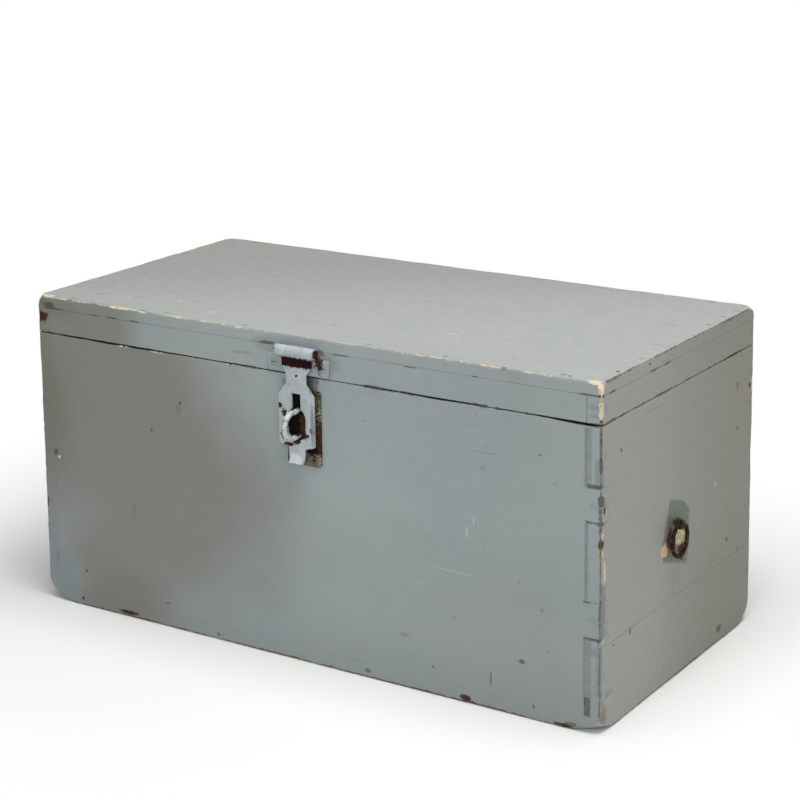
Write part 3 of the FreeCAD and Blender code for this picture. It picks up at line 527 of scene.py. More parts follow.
    # Paint rubbed and chipped along the edges
    chip_noise = tree.noise(at, 7, 4, 0.65, shift=20)
    long_noise = tree.noise(at, 48, 2, 0.5, shift=220)
    reach = tree.fit(chip_noise, 6, -3.35)
    reach = tree.fit(tree.less(long_noise, 0.5), 4.5, reach)
    worn = tree.zone(at, WORN_ZONES, 8)
    reach = tree.fit(worn, 1, reach)
    rubbed = tree.step(tree.less(edge, reach), 0.7, 0.25)
    tone = tree.noise(at, 4, 3, 0.6, shift=90)
    edge_colour = tree.mix(tree.step(tone, 0.42, 0.62), srgb(110, 108, 100), srgb(72, 66, 58))
    brown = tree.mix(tree.step(tone, 0.42, 0.6), srgb(116, 86, 62), srgb(62, 48, 40))
    edge_colour = tree.mix(tree.zone(at, BROWN_ZONES, 3), edge_colour, brown)
    pale_edge = tree.mix(tree.step(tone, 0.5, 0.7), CREAM, srgb(170, 158, 138))
    edge_colour = tree.mix(tree.zone(at, PALE_ZONES, 3), edge_colour, pale_edge)
    colour = tree.coat(colour, rubbed, 0.8, edge_colour)
    bare = tree.step(tree.plus(tree.blobs(at, BARE_CHIPS), rough_edge), 0.1, 0.3)
    bare_colour = tree.mix(tree.step(tone, 0.48, 0.68), CREAM, TAN)
    salmon = tree.step(tree.blobs(at, SALMON), 0, 0.3)
    bare_colour = tree.mix(salmon, bare_colour, SALMON_WOOD)
    straw = tree.step(tree.blobs(at, STRAW), 0, 0.3)
    straw_colour = tree.mix(tree.step(tone, 0.4, 0.6), srgb(228, 224, 176), srgb(176, 172, 132))
    bare_colour = tree.mix(straw, bare_colour, straw_colour)
    colour = tree.mix(bare, colour, bare_colour)
    spot = tree.step(tree.plus(tree.blobs(at, RUST_SPOTS), rough_edge), 0.05, 0.5)
    spot_colour = tree.mix(tree.step(tone, 0.4, 0.6), RUST, DARK)
    colour = tree.coat(colour, spot, 0.92, spot_colour)

    lost = tree.most(bare, tree.times(rubbed, 0.6))
    lost = tree.most(lost, tree.times(spot, 0.5))
    if seam:
        dark = tree.zone(at, DARK_SEAMS, 3)
        deep = tree.step(tree.noise(at, 14, 3, 0.6, shift=700), 0.36, 0.62, 0.18, 0.62)
        deep = tree.fit(dark, 0.4, deep, clamp=True)
        floor_line = tree.math("ABSOLUTE", tree.less(z, 14))
        deep = tree.times(deep, tree.step(floor_line, 1, 3, 0.25, 1))
        off_lid = tree.math("ABSOLUTE", tree.less(z, LID_SEAM))
        behind = tree.times(tree.step(y, 136, 144), end)
        behind = tree.most(behind, tree.step(x, -284, -292))
        hidden = tree.times(tree.step(off_lid, 3, 5, 0, 0.85), behind)
        deep = tree.times(deep, tree.less(1, hidden))
        colour = tree.mix(deep, colour, srgb(62, 60, 56))
    height = tree.fit(streaks, 0.2, tree.times(fine, 0.16))
    height = tree.fit(tree.noise(at, 1.6, 2, 0.6), 0.1, height)
    chipped = tree.step(edge, 1, 0.2)
    height = tree.fit(chipped, tree.times(chip_noise, -0.9), height)
    rough = tree.step(fine, 0.3, 0.7, 0.5, 0.66)
    rough = tree.fit(lost, 0.2, rough)
    dull = tree.most(spot, tree.times(mark, 0.6))
    dull = tree.most(dull, tree.times(dirty, 0.6))
    dull = tree.most(dull, tree.times(rubbed, 0.5))
    shine = tree.fit(dull, -0.44, 0.5)
    return tree.finish(colour, rough, height, 0.4, gloss=shine)


def chipped_wood():
    """Bare wood in the chips of the painted faces, pale at fresh ones and dark at old ones."""
    tree = Paint("chipped_wood")
    at = tree.places()
    tone = tree.noise(at, 5, 3, 0.6, shift=90)
    fibres = tree.noise(tree.stretch(at, 0.1, 0.5, 1), 1.4, 3, 0.6)
    colour = tree.mix(tree.step(tone, 0.45, 0.65), srgb(128, 118, 100), srgb(78, 68, 58))
    pale = tree.mix(tree.step(tone, 0.5, 0.72), CREAM, TAN)
    colour = tree.mix(tree.zone(at, PALE_ZONES, 3), colour, pale)
    brown = tree.mix(tree.step(tone, 0.42, 0.6), srgb(116, 86, 62), srgb(62, 48, 40))
    colour = tree.mix(tree.zone(at, BROWN_ZONES, 3), colour, brown)
    colour = tree.mix(tree.step(fibres, 0.55, 0.8, 0, 0.4), colour, srgb(110, 90, 66))
    return tree.finish(colour, 0.75, fibres, 0.2)


def bare_wood(name, grain):
    """Aged softwood whose grain runs along X or Y."""
    tree = Paint(name)
    at = tree.places()
    along = (0.02, 1, 1) if grain == "x" else (1, 0.02, 1)
    fibres = tree.noise(tree.stretch(at, *along), 1.6, 4, 0.65)
    warp = tree.stretch(at, *(0.14 * a if a == 1 else a * 0.3 for a in along))
    rings = tree.noise(warp, 1.2, 2, 0.5, distort=0.6)
    lines = tree.math("SINE", tree.times(rings, 62))
    lines = tree.step(lines, 0.2, 1)
    patch = tree.noise(at, 60, 3, 0.6)
    colour = tree.mix(tree.step(patch, 0.35, 0.65), srgb(196, 160, 112), srgb(176, 138, 92))
    colour = tree.coat(colour, lines, 0.5, srgb(148, 104, 62))
    colour = tree.mix(tree.step(fibres, 0.55, 0.8, 0, 0.45), colour, srgb(120, 86, 54))
    dust = tree.noise(at, 22, 4, 0.65, shift=70)
    colour = tree.mix(tree.step(dust, 0.55, 0.75, 0, 0.45), colour, srgb(104, 88, 70))

    # Dirt and painted shade on the rims where the lid meets the base, most in their outer half
    x, y, z = tree.split(at)
    from_end, from_side, _ = face_distances(tree, x, y, z)
    from_out = tree.least(from_end, from_side)
    rim = tree.step(tree.math("ABSOLUTE", tree.less(z, LID_SEAM)), 3.4, 1.6)
    ragged = tree.fit(tree.less(dust, 0.5), 9, from_out)
    rim_dirt_and_shade = tree.times(rim, tree.step(ragged, 14, 5.5, 0.35, 0.97))
    colour = tree.mix(rim_dirt_and_shade, colour, srgb(44, 38, 33))
    height = tree.fit(lines, 0.3, tree.times(fibres, 0.6))
    return tree.finish(colour, tree.step(fibres, 0.3, 0.7, 0.62, 0.8), height, 0.3)


def worn_edges(tree, radius):
    """1 where a sharp edge lies within the radius, from the normals of a softened edge."""
    soft = tree.add("ShaderNodeBevel", {"Radius": radius * MM}, samples=6)
    hard = tree.add("ShaderNodeNewGeometry").outputs["True Normal"]
    alike = tree.vector("DOT_PRODUCT", soft.outputs[0], hard, out="Value")
    return tree.less(1, alike)


MAROON = (srgb(52, 23, 16), srgb(28, 13, 11))
# Near-black for the painted shadow on the staple plate
SHADOW_BLACK = (srgb(14, 14, 13), srgb(24, 16, 13))


def painted_iron(name, coat, keep, chips=(), rust_and_shade=(), tints_and_highlights=(), deep=MAROON):
    """Old paint over iron. Keep is how much of the paint is left, 0 to 1."""
    tree = Paint(name)
    at = tree.places()
    fine = tree.noise(at, 2.2, 4, 0.65)
    patch = tree.noise(at, 9, 3, 0.6, shift=60)
    edge = worn_edges(tree, 0.9)
    gone = tree.fit(patch, 1.1, tree.times(fine, 0.5))
    gone = tree.fit(edge, 0.9, gone)
    if chips:
        ragged = tree.times(tree.less(fine, 0.5), 1.6)
        lost = tree.most(tree.plus(tree.blobs(at, chips), ragged), 0)
        gone = tree.fit(lost, 0.9, gone)
    gone = tree.step(gone, 0.62 + 0.5 * keep, 0.72 + 0.5 * keep)
    rust = tree.mix(tree.step(fine, 0.38, 0.62), srgb(78, 50, 38), srgb(44, 34, 31))
    rust = tree.mix(tree.step(patch, 0.55, 0.7, 0, 0.4), rust, srgb(104, 70, 48))
    paint = tree.mix(tree.step(patch, 0.3, 0.7), coat, tuple(0.86 * c for c in coat[:3]) + (1,))
    paint = tree.mix(tree.step(fine, 0.56, 0.75, 0, 0.5), paint, srgb(124, 128, 128))
    # Tints of the paint, among them the painted highlight on the hasp's tab
    for table, colour in tints_and_highlights:
        paint = tree.mix(tree.step(tree.blobs(at, table), 0, 0.6, 0, 0.75), paint, colour)
    colour = tree.mix(gone, paint, rust)
    # Dark rust and painted shade: where the table says, a deep colour replaces the paint
    if rust_and_shade:
        ragged = tree.times(tree.less(fine, 0.5), 0.9)
        bare = tree.step(tree.plus(tree.blobs(at, rust_and_shade), ragged), 0.05, 0.3)
        dark = tree.mix(tree.step(fine, 0.4, 0.6), *deep)
        colour = tree.mix(bare, colour, dark)
        gone = tree.most(gone, bare)
    height = tree.fit(gone, -0.7, tree.times(fine, 0.6))
    rough = tree.fit(gone, 0.4, 0.42)
    shine = tree.fit(gone, -0.44, 0.5)
    return tree.finish(colour, rough, height, 0.25, gloss=shine)


def dark_iron():
    """Rusted iron, rubbed bright here and there."""
    tree = Paint("dark_iron")
    at = tree.places()
    fine = tree.noise(at, 1.2, 4, 0.7)
    patch = tree.noise(at, 5, 3, 0.6, shift=60)
    rubbed = tree.step(tree.fit(fine, 0.4, patch), 0.74, 0.9)
    rust = tree.mix(tree.step(patch, 0.42, 0.66), srgb(40, 26, 18), srgb(78, 52, 26))
    rust = tree.mix(tree.step(fine, 0.42, 0.6, 0, 0.7), rust, srgb(30, 20, 16))
    colour = tree.coat(rust, rubbed, 0.2, srgb(190, 170, 110))
    rough = tree.fit(rubbed, -0.3, 0.85)
    metal = tree.times(rubbed, 0.5)
    return tree.finish(colour, rough, fine, 0.2, metal, 0.1)


def worn_brass():
    tree = Paint("worn_brass")
    at = tree.places()
    fine = tree.noise(at, 0.9, 4, 0.7)
    patch = tree.noise(at, 4, 3, 0.6, shift=25)
    rubbed = tree.step(tree.fit(fine, 0.3, patch), 0.66, 0.82)
    colour = tree.mix(tree.step(patch, 0.35, 0.6), srgb(36, 29, 19), srgb(62, 49, 28))
    colour = tree.coat(colour, rubbed, 0.25, srgb(170, 150, 96))
    rough = tree.fit(rubbed, -0.25, 0.65)
    metal = tree.fit(rubbed, 0.3, 0.1)
    return tree.finish(colour, rough, fine, 0.15, metal, 0.2)


def painted_nail():
    """Nail heads under the chest's paint, with rust showing through."""
    tree = Paint("painted_nail")
    at = tree.places()
    fine = tree.noise(at, 1.4, 4, 0.65)
    patch = tree.noise(at, 60, 2, 0.5, shift=10)
    rusty = tree.step(tree.fit(fine, 0.8, patch), 1.12, 1.2)
    colour = tree.mix(rusty, srgb(138, 144, 142), srgb(84, 60, 46))
    return tree.finish(colour, tree.fit(rusty, 0.2, 0.55), fine, 0.2)


PAINTED = painted_wood()
SEAM = painted_wood("painted_seam", seam=True)
CHIPPED = chipped_wood()
WOOD = {"x": bare_wood("bare_wood_long", "x"), "y": bare_wood("bare_wood_cross", "y")}
HASP_CHIPS = [
    (-10, -161, 240, 4, 4, 4), (-8, -161, 229, 5, 4, 7), (-10, -161, 219, 6, 4, 5),
    (2, -161, 214, 8, 4, 3), (12, -161, 221, 5, 4, 5), (-15, -161, 246, 3, 4, 3),
    (-5, -161, 211, 7, 4, 2.4), (3.6, -161, 276, 1.7, 4, 1.7),
]
# Rust and painted shade in the band under the hasp's barrel
HASP_RUST_AND_SHADE = [(3, -160, 288, 42, 8, 5.4)]
# A painted highlight on the hasp's flared tab, where the light catches it
TAB_PAINTED_HIGHLIGHT = [(-1, -163, 196, 13, 9, 10)]
HASP = painted_iron(
    "painted_iron",
    srgb(178, 188, 193),
    0.72,
    HASP_CHIPS,
    HASP_RUST_AND_SHADE,
    [(TAB_PAINTED_HIGHLIGHT, srgb(222, 230, 232)), ([(20.5, -161, 232, 2.6, 4, 27)], srgb(112, 103, 101))],
)
LEAF = painted_iron(
    "leaf_iron",
    srgb(150, 159, 161),
    0.78,
    [(26, -157, 291, 6, 4, 11), (28, -157, 299, 6, 4, 6)],
    tints_and_highlights=[([(3, -163, 298.5, 40, 6.5, 12)], srgb(188, 197, 200))],
)
PLATE = painted_iron(
    "plate_iron",
    srgb(88, 86, 60),
    0.42,
    chips=[(6, -156, 230, 24, 6, 30), (26, -156, 218, 8, 5, 20)],
    # Near-black painted shadow on the plate, seen through the strap's slot and hole and by its
    # lower end
    rust_and_shade=[(1, -156, 250, 9, 6, 14), (-2, -156, 228, 8, 6, 18), (17, -156, 208, 8, 6, 6)],
    tints_and_highlights=[([(26, -156, 241, 7, 5, 9), (27, -156, 198, 7, 5, 7)], srgb(144, 147, 142))],
    deep=SHADOW_BLACK,
)
HINGE = painted_iron("hinge_iron", srgb(146, 154, 156), 0.5)
LOOP = painted_iron("loop_iron", srgb(200, 204, 202), 0.5, [(3, -158, 230, 8, 7, 16)])
IRON = dark_iron()
BRASS = worn_brass()
NAIL = painted_nail()


# Worn boards


def seeded(name):
    return random.Random(sum(ord(c) * (i + 7) for i, c in enumerate(name)))


def between(table, place):
    """A value read off a table of (place, value) rows, in a straight line between them."""
    if place <= table[0][0]:
        return table[0][1]
    for (a, low), (b, high) in zip(table, table[1:]):
        if place <= b:
            return low + (high - low) * (place - a) / (b - a)
    return table[-1][1]


# How wide the gap under the lid looks, along the front and along the ends
FRONT_GAP = [
    (-310, 0.7), (-290, 1), (-283, 0.7), (-272, 1.4), (-256, 1.3), (-248, 0.9), (-234, 1.9),
    (-216, 1.9), (-208, 1.1), (-196, 1.1), (-190, 1.9), (-178, 1.7), (-170, 1.2), (-154, 1.2),
    (-144, 1.4), (-130, 0.9), (-108, 0.8), (-88, 0.7), (-78, 1.1), (-60, 1), (-46, 0.6),
    (-28, 0.8), (-8, 0.9), (16, 0.5), (40, 0.45), (60, 0.6), (76, 0.9), (88, 0.6), (96, 1),
    (116, 0.7), (124, 1.3), (142, 1.7), (158, 1.6), (172, 1.3), (186, 0.9), (206, 0.5),
    (222, 1), (236, 0.6), (252, 1.2), (264, 1.4), (276, 2), (306, 2.1), (310, 1.6),
]
END_GAP = [
    (-155, 0.9), (-150, 0.25), (-108, 0.25), (-103, 0.4), (-89, 0.4), (-84, 0.25), (4, 0.25),
    (8, 0.6), (20, 0.5), (26, 0.25), (88, 0.3), (93, 0.7), (112, 0.9), (132, 0.7), (138, 0.3),
    (155, 0.3),
]

# The strip beside an edge that is cut up for wear, and how far off a point still counts
STRIP = 2.5
SLACK = 0.1

# Points this near an edge are worn back, by this share of the wear along each axis
EDGE_REACH = 1.5
EDGE_SHARE = 0.6

# The most that the lid's gap is closed and opened
MOST_CLOSED = 0.75
MOST_OPENED = 1.3

# A dent over a nail: how much wider than the head it is, and how deep
DENT_MARGIN = 0.25
DENT_DEPTH = 0.4

# The slots of a board's materials
PAINT_SLOT, WOOD_SLOT, SEAM_SLOT, CHIP_SLOT = range(4)


def clean_mesh(node):
    """The node's solid as an editable mesh in millimetres, with flat faces made whole."""
    work = bmesh.new()
    work.from_mesh(frame["nodes"][node].data)
    bmesh.ops.scale(work, vec=(1 / MM,) * 3, verts=work.verts)
    bmesh.ops.remove_doubles(work, verts=work.verts, dist=0.002)
    flat = math.radians(0.6)
    bmesh.ops.dissolve_limit(work, angle_limit=flat, verts=work.verts, edges=work.edges)
    return work


def soften(work, width, segments, angle, only=None):
    """Rounds the edges that are sharper than the angle."""
    sharp = [
        e
        for e in work.edges
        if len(e.link_faces) == 2
        and e.calc_face_angle(0) > math.radians(angle)
        and (only is None or only(e))
    ]
    shape = {"offset_type": "OFFSET", "profile": 0.5, "affect": "EDGES", "clamp_overlap": True}
    bmesh.ops.bevel(work, geom=sharp, offset=width, segments=segments, **shape)


def chip_shape(work, place, size, chance):
    """A rough lump that is cut from a board."""
    made = bmesh.ops.create_icosphere(work, subdivisions=2, radius=1)["verts"]
    spin = Matrix.Rotation(chance.uniform(0, math.tau), 3, "Z")
    seed = Vector([chance.uniform(0, 90) for _ in range(3)])
    for vert in made:
        point = spin @ vert.co
        lump = 1 + 0.42 * noise.noise(point * 1.7 + seed) + chance.uniform(-0.1, 0.1)
        vert.co = Vector([point[i] * lump * size[i] + place[i] for i in range(3)])


def nail_dents():
    """The low and high corners of each nail, by the node of the nails."""
    dents = {}
    for name in ("lid_nails", "lid_corner_nails", "bottom_nails", "corner_nails"):
        work = bmesh.new()
        work.from_mesh(frame["nodes"][name].data)
        bmesh.ops.remove_doubles(work, verts=work.verts, dist=2e-6)
        left = set(work.verts)
        dents[name] = []
        while left:
            group, queue = set(), [left.pop()]
            while queue:
                vert = queue.pop()
                group.add(vert)
                for edge in vert.link_edges:
                    other = edge.other_vert(vert)
                    if other in left:
                        left.discard(other)
                        queue.append(other)
            spots = [v.co / MM for v in group]
            low = Vector([min(s[i] for s in spots) for i in range(3)])
            high = Vector([max(s[i] for s in spots) for i in range(3)])
            dents[name].append((low, high))
        work.free()
        dents[name].sort(key=lambda pair: tuple(round(v, 2) for v in pair[0]))
    return dents


DENTS = nail_dents()

# Chips along the edges: the axis an edge runs along, its two other coordinates, start, end,
# how many chips and their size
CHIP_LINES = {
    "lid_top_board": [
        (0, -155, 312, -306, -250, 5, 1.3), (0, -155, 312, -222, -196, 3, 1.7),
        (0, -155, 312, -181, -176, 1, 1.8), (0, -155, 312, -160, -40, 7, 0.9),
        (0, -155, 312, 80, 290, 10, 0.9), (1, 310, 312, -150, 150, 12, 1.0),
        (1, -310, 312, -145, 145, 12, 1.2), (0, 155, 312, -300, 300, 20, 1.2),
        (2, 310, -155, 303, 312, 2, 1.8), (0, -155, 312, 300, 310, 2, 1.8),
        (1, 310, 301, -66, -24, 4, 0.7),
    ],
    "front_board": [
        (0, -155, 275, -206, -198, 1, 1.5), (0, -155, 275, -170, -156, 2, 1.2),
        (0, -155, 275, -80, -72, 1, 1.4), (0, -155, 275, 96, 306, 8, 0.8),
        (2, 310, -155, 190, 220, 2, 1.0), (2, 310, -155, 88, 118, 2, 1.0),
        (2, -310, -155, 87, 221, 4, 1.2),
    ],
    "right_end_upper_board": [
        (2, 310, -155, 160, 184, 3, 1.9), (2, 310, -155, 132, 150, 2, 1.5),
        (2, 310, -155, 78, 87, 1, 1.3), (2, 310, -155, 222, 275, 4, 0.9),
        (1, 310, 275, -140, 140, 6, 0.7), (2, 310, 155, 90, 270, 8, 1.2),
    ],
    "right_end_lower_board": [(2, 310, -155, 40, 77, 2, 1.1)],
    "left_end_upper_board": [
        (2, -310, -155, 130, 186, 4, 1.4), (2, -310, -155, 222, 272, 4, 1.1),
        (1, -310, 275, -140, 140, 9, 0.9), (2, -310, 155, 120, 270, 6, 1.4),
    ],
    "bottom_front_board": [(0, -155, 0, -268, 262, 22, 1.7), (0, -155, 0, 174, 188, 2, 2.6)],
    "bottom_back_board": [(0, 155, 0, -268, 262, 24, 1.8), (1, 310, 0, -60, 105, 7, 2.0)],
    "lid_front_rail": [(0, -155, 276, -292, 292, 12, 0.7)],
    "lid_right_rail": [(2, 310, -155, 278, 300, 3, 1.3), (1, 310, 276, -140, 150, 5, 0.7)],
    "lid_left_rail": [(2, -310, -155, 278, 300, 4, 1.5), (1, -310, 276, -140, 150, 7, 0.9)],
    "back_board": [(0, 155, 275, -290, 290, 16, 1.0), (2, 310, 155, 189, 221, 2, 1.2)],
    "lid_back_rail": [(0, 155, 276, -290, 290, 14, 0.9)],
}

# Each board's grain, and the nails through its face
BOARDS = {
    "front_board": ("x", "corner_nails"),
    "back_board": ("x", "corner_nails"),
    "left_end_upper_board": ("y", "corner_nails"),
    "left_end_lower_board": ("y", "corner_nails"),
    "right_end_upper_board": ("y", "corner_nails"),
    "right_end_lower_board": ("y", "corner_nails"),
    "bottom_front_board": ("x", "bottom_nails"),
    "bottom_back_board": ("x", "bottom_nails"),
    "lid_top_board": ("x", "lid_nails"),
    "lid_front_rail": ("x", None),
    "lid_back_rail": ("x", None),
    "lid_left_rail": ("y", "lid_corner_nails"),
    "lid_right_rail": ("y", "lid_corner_nails"),
}


def cutters(name):
    """All the lumps and nail dents that are cut from a board, as one mesh."""
    chance = seeded(name)
    work = bmesh.new()
    for axis, first, second, start, end, count, size in CHIP_LINES.get(name, ()):
        fixed = (first, second)
        start, end = (Vector((*fixed[:axis], at, *fixed[axis:])) for at in (start, end))
        run = end - start
        for i in range(count):
            place = start + run * ((i + chance.uniform(0.05, 0.95)) / count)
            long = size * chance.uniform(1.2, 3.6)
            big = [size * chance.uniform(0.4, 0.9)] * 3
            big[axis] = long
            other = [a for a in range(3) if a != axis]
            big[other[chance.randint(0, 1)]] *= 1.0 + chance.uniform(0.0, 0.8)
            chip_shape(work, place, big, chance)
    chips = len(work.faces)
    for low, high in DENTS.get(BOARDS[name][1], ()):
        long_axis = max(range(3), key=lambda a: high[a] - low[a])
        middle = (low + high) / 2
        outer = middle.copy()
        if long_axis == 2:
            outer[2] = LID_TOP if high[2] > LID_BOTTOM else 0.0
        else:
            outer[long_axis] = math.copysign(FACES[long_axis], middle[long_axis])
        half = [(high[a] - low[a]) / 2 + DENT_MARGIN for a in range(3)]
        half[long_axis] = DENT_DEPTH
        box = bmesh.ops.create_cube(work, size=2)["verts"]
        twist = Matrix.Rotation(chance.uniform(-0.3, 0.3), 3, "XYZ"[long_axis])
        for vert in box:
            scaled = Vector([vert.co[a] * half[a] for a in range(3)])
            vert.co = outer + twist @ scaled
    work.faces.ensure_lookup_table()
    for i, face in enumerate(work.faces):
        face.material_index = CHIP_SLOT if i < chips else PAINT_SLOT
    return work


def outer_planes(point, reach):
    """How many of the chest's outer faces a point lies within reach of."""
    return sum(abs(point[a]) > FACES[a] - reach for a in range(3)) + (point.z < reach)


def slot_of(face):
    """Whether a board's face is painted, bare or in the groove of a seam."""
    normal, middle = face.normal, face.calc_center_median()
    axis = max(range(3), key=lambda a: abs(normal[a]))
    if abs(normal[axis]) > 0.97:
        outside = abs(middle[axis]) > FACES[axis] - 0.9 and normal[axis] * middle[axis] > 0
        return PAINT_SLOT if outside else WOOD_SLOT

    # The knocked-off corners are painted too
    corner = abs(middle.x) > HALF_X - 39 and abs(middle.y) > HALF_Y - 31
    level = normal.z > 0.1 if middle.z > LID_TOP - 12 else normal.z < -0.1 and middle.z < 21
    if corner and level and normal.x * middle.x > 30 and normal.y * middle.y > 15:
        return PAINT_SLOT
    return (WOOD_SLOT, SEAM_SLOT, PAINT_SLOT)[min(outer_planes(middle, 1.3), 2)]


def cut_flat(work, axis, place, keep=None):
    """Splits faces along a plane square to an axis."""
    faces = [f for f in work.faces if keep is None or keep(f)]
    geom = set(faces)
    for face in faces:
        geom.update(face.edges)
        geom.update(face.verts)
    normal = Vector((0, 0, 0))
    normal[axis] = 1
    bmesh.ops.bisect_plane(work, geom=list(geom), plane_co=normal * place, plane_no=normal)


def near_edge(face, axis):
    """Whether a face lies in the narrow strip beside a chest edge that runs along the axis."""
    for vert in face.verts:
        beside = [abs(vert.co[a]) > FACES[a] - STRIP - SLACK for a in range(3)]
        beside[2] = beside[2] or vert.co.z < STRIP + SLACK
        del beside[axis]
        at_gap = abs(vert.co.z - LID_SEAM) < GAP / 2 + STRIP + SLACK
        if sum(beside) + at_gap < 2:
            return False
    return True


def wear_edges(work):
    """Moves the points along the chest's edges inward a little, and shapes the lid's gap."""
    for vert in work.verts:
        point = vert.co.copy()
        if outer_planes(point, EDGE_REACH) >= 2:
            slow = noise.noise(point * 0.027 + Vector((7, 3, 1)))
            quick = noise.noise(point * 0.15)
            sharp = noise.noise(point * 0.5 + Vector((3, 9, 4)))
            depth = 0.12 + 0.9 * max(0.0, slow) + 0.5 * max(0.0, quick) + 0.2 * max(0.0, sharp)
            for axis in range(3):
                if abs(point[axis]) > FACES[axis] - EDGE_REACH:
                    vert.co[axis] -= math.copysign(depth * EDGE_SHARE, point[axis])
            if point.z < EDGE_REACH:
                vert.co.z += depth * EDGE_SHARE
        on_rim = abs(point.z - LID_SEAM) < 1.0
        on_side = abs(point.x) > HALF_X - 2.7
        if on_rim and (on_side or abs(point.y) > HALF_Y - 2.7):
            width = between(END_GAP, point.y) if on_side else between(FRONT_GAP, point.x)
            width += 0.2 * noise.noise(point * 0.13)
            if point.z > LID_SEAM:
                vert.co.z -= min(MOST_CLOSED, max(0.0, GAP - width))
            else:
                vert.co.z -= min(MOST_OPENED, max(0.0, width - GAP))


def to_object(work, name, materials, smooth=40):
    bmesh.ops.scale(work, vec=(MM,) * 3, verts=work.verts)
    mesh = bpy.data.meshes.new(name)
    work.to_mesh(mesh)
    work.free()
    for material in materials:
        mesh.materials.append(material)
    mesh.polygons.foreach_set("use_smooth", [True] * len(mesh.polygons))
    mesh.set_sharp_from_angle(angle=math.radians(smooth))
    made = bpy.data.objects.new(name, mesh)
    bpy.context.scene.collection.objects.link(made)
    return made


def flatten(mesh):
    """Faces square to the axes are shaded flat, so worn edges don't bleed into them."""
    flat = [max(abs(c) for c in p.normal) < 0.99999 for p in mesh.polygons]
    mesh.polygons.foreach_set("use_smooth", flat)


def stand_for(piece, node):
    """The piece takes the node's place, on the node's body."""
    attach(piece, frame["nodes"][node]["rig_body"])
    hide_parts(node)
    return piece


def worn_board(node):
    chance = seeded(node + "edge")
    work = clean_mesh(node)
    for side in (-1, 1):
        cut_flat(work, 0, side * (HALF_X - STRIP))
        cut_flat(work, 1, side * (HALF_Y - STRIP))
    for level in (STRIP, BASE_TOP - STRIP, LID_BOTTOM + STRIP, LID_TOP - STRIP):
        cut_flat(work, 2, level)
    for axis, high in enumerate(FACES):
        place = 6 - (0 if axis == 2 else high)
        while place < high - 5:
            cut_flat(work, axis, place, lambda f: near_edge(f, axis))
            place += chance.uniform(5, 9)
    soften(work, 0.9, 3, 25, lambda e: all(outer_planes(v.co, 0.2) >= 2 for v in e.verts))
    soften(work, 0.3, 1, 50)
    wear_edges(work)
    work.normal_update()
    for face in work.faces:
        face.material_index = slot_of(face)
    bmesh.ops.triangulate(work, faces=work.faces)
    materials = (PAINTED, WOOD[BOARDS[node][0]], SEAM, CHIPPED)
    board = to_object(work, "worn_" + node, materials)
    tool = to_object(cutters(node), "cutter_" + node, materials)
    if len(tool.data.polygons):
        cut = board.modifiers.new("Chips", "BOOLEAN")
        cut.operation = "DIFFERENCE"
        cut.object = tool
        cut.solver = "EXACT"
        cut.use_self = True
        bpy.context.view_layer.update()
        shown = board.evaluated_get(bpy.context.evaluated_depsgraph_get())
        result = bpy.data.meshes.new_from_object(shown)
        board.modifiers.clear()
        board.data = result
    bpy.data.objects.remove(tool)
    flatten(board.data)
    return stand_for(board, node)


for board_name in BOARDS:
    worn_board(board_name)


# The ironwork


def soft_iron(node, material, width=0.45):
    """The node's own shape with its edges rounded."""
    work = clean_mesh(node)
    soften(work, width, 2, 32)
    return stand_for(to_object(work, "soft_" + node, (material,), 50), node)


soft_iron("hasp_strap", HASP, 0.6)
soft_iron("hasp_leaf", LEAF)
soft_iron("staple_plate", PLATE)
for side_name in ("left", "right"):
    soft_iron(f"{side_name}_hinge_base_leaf", HINGE, 0.3)
    soft_iron(f"{side_name}_hinge_lid_leaf", HINGE, 0.3)


def dress(node, material):
    """The node stays as it is and takes the material."""
    piece = frame["nodes"][node]
    piece.data.materials.clear()
    piece.data.materials.append(material)


dress("staple_loop", LOOP)
for side_name in ("left", "right"):
    dress(f"{side_name}_hinge_pin", IRON)
    dress(f"{side_name}_ring", IRON)
    dress(f"{side_name}_ring_eye", BRASS)
for node_name in ("hasp_pin", "hinge_base_screws", "hinge_lid_screws"):
    dress(node_name, IRON)
dress("hasp_leaf_screws", LEAF)
dress("staple_plate_screws", PLATE)
for node_name in ("lid_nails", "bottom_nails"):
    dress(node_name, NAIL)
for node_name in ("lid_corner_nails", "corner_nails"):
    dress(node_name, PAINTED)


# Floor, world, lamps and camera


WHITE = {"Color": (1, 1, 1, 1), "Strength": 1.0}


def build_world(level):
    """Soft light on the chest, and plain white for what sees the background."""
    world = bpy.data.worlds.new("studio")
    bpy.context.scene.world = world
    tree = Tree(world)
    sky = {"Color": (0.96, 0.98, 1.0, 1.0), "Strength": level}
    lit, white = (tree.add("ShaderNodeBackground", inputs) for inputs in (sky, WHITE))
    tree.show("ShaderNodeOutputWorld", tree.shown_rays(), lit, white)


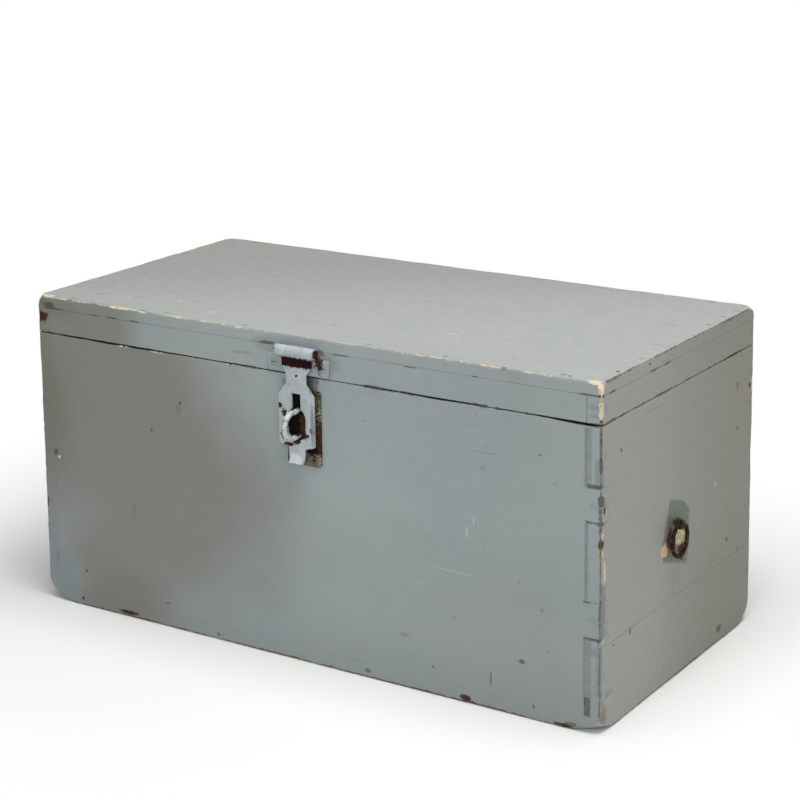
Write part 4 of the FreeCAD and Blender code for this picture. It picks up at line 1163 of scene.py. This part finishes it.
def build_floor():
    """A pale floor that keeps the chest's shadow and turns plain white away from it."""
    work = bmesh.new()
    bmesh.ops.create_circle(work, cap_ends=True, radius=6.0, segments=96)
    for vert in work.verts:
        vert.co.z = -0.0004
    mesh = bpy.data.meshes.new("floor")
    work.to_mesh(mesh)
    work.free()
    floor = bpy.data.objects.new("floor", mesh)
    bpy.context.scene.collection.objects.link(floor)
    tree = Paint("floor")
    x, y, _ = tree.split(tree.vector("ABSOLUTE", tree.places()))
    beside = tree.most(tree.less(x, HALF_X), 0.0)
    before = tree.most(tree.less(y, HALF_Y), 0.0)
    away = tree.math("SQRT", tree.fit(beside, beside, tree.times(before, before)))
    share = tree.times(tree.step(away, 60, 420), tree.shown_rays())
    tree.surface((0.93, 0.93, 0.925, 1.0), 0.9, gloss=0.1)
    white = tree.add("ShaderNodeEmission", WHITE)
    tree.show("ShaderNodeOutputMaterial", share, tree.shader, white)
    mesh.materials.append(tree.material)


def lamp(name, place, target, size, power, colour):
    data = bpy.data.lights.new(name, "AREA")
    data.shape = "DISK"
    data.size = size
    data.energy = power
    data.color = colour
    made = bpy.data.objects.new(name, data)
    bpy.context.scene.collection.objects.link(made)
    made.location = place
    made.rotation_euler = (Vector(target) - Vector(place)).to_track_quat("-Z", "Y").to_euler()


def build_camera():
    around, above, roll = math.radians(32.923), math.radians(11.45), math.radians(-0.621)
    right = Vector((math.cos(around), math.sin(around), 0))
    level = math.cos(above)
    back = Vector((math.sin(around) * level, -math.cos(around) * level, math.sin(above)))
    up = back.cross(right)
    c, s = math.cos(roll), math.sin(roll)
    across, upward = c * right + s * up, -s * right + c * up
    data = bpy.data.cameras.new("camera")
    data.sensor_width = 36.0
    data.lens = 96.485
    data.shift_y = -0.2284
    camera = bpy.data.objects.new("camera", data)
    bpy.context.scene.collection.objects.link(camera)
    turn = Matrix((across, upward, back)).transposed()
    camera.matrix_world = Matrix.Translation((1.0977, -1.6753, 0.7989)) @ turn.to_4x4()
    bpy.context.scene.camera = camera


build_world(0.225)
build_floor()
lamp("overhead", (0.5, -0.35, 2.2), (0.1, 0.0, 0.3), 1.8, 43.5, (1.0, 0.99, 0.97))
lamp("front", (0.5, -2.3, 1.2), (0.0, 0.0, 0.15), 1.5, 8.4, (0.98, 0.99, 1.0))
lamp("right", (2.2, -1.2, 0.9), (0.2, 0.0, 0.15), 1.4, 5.9, (1.0, 0.98, 0.96))
build_camera()
bpy.context.scene.view_settings.view_transform = "Standard"
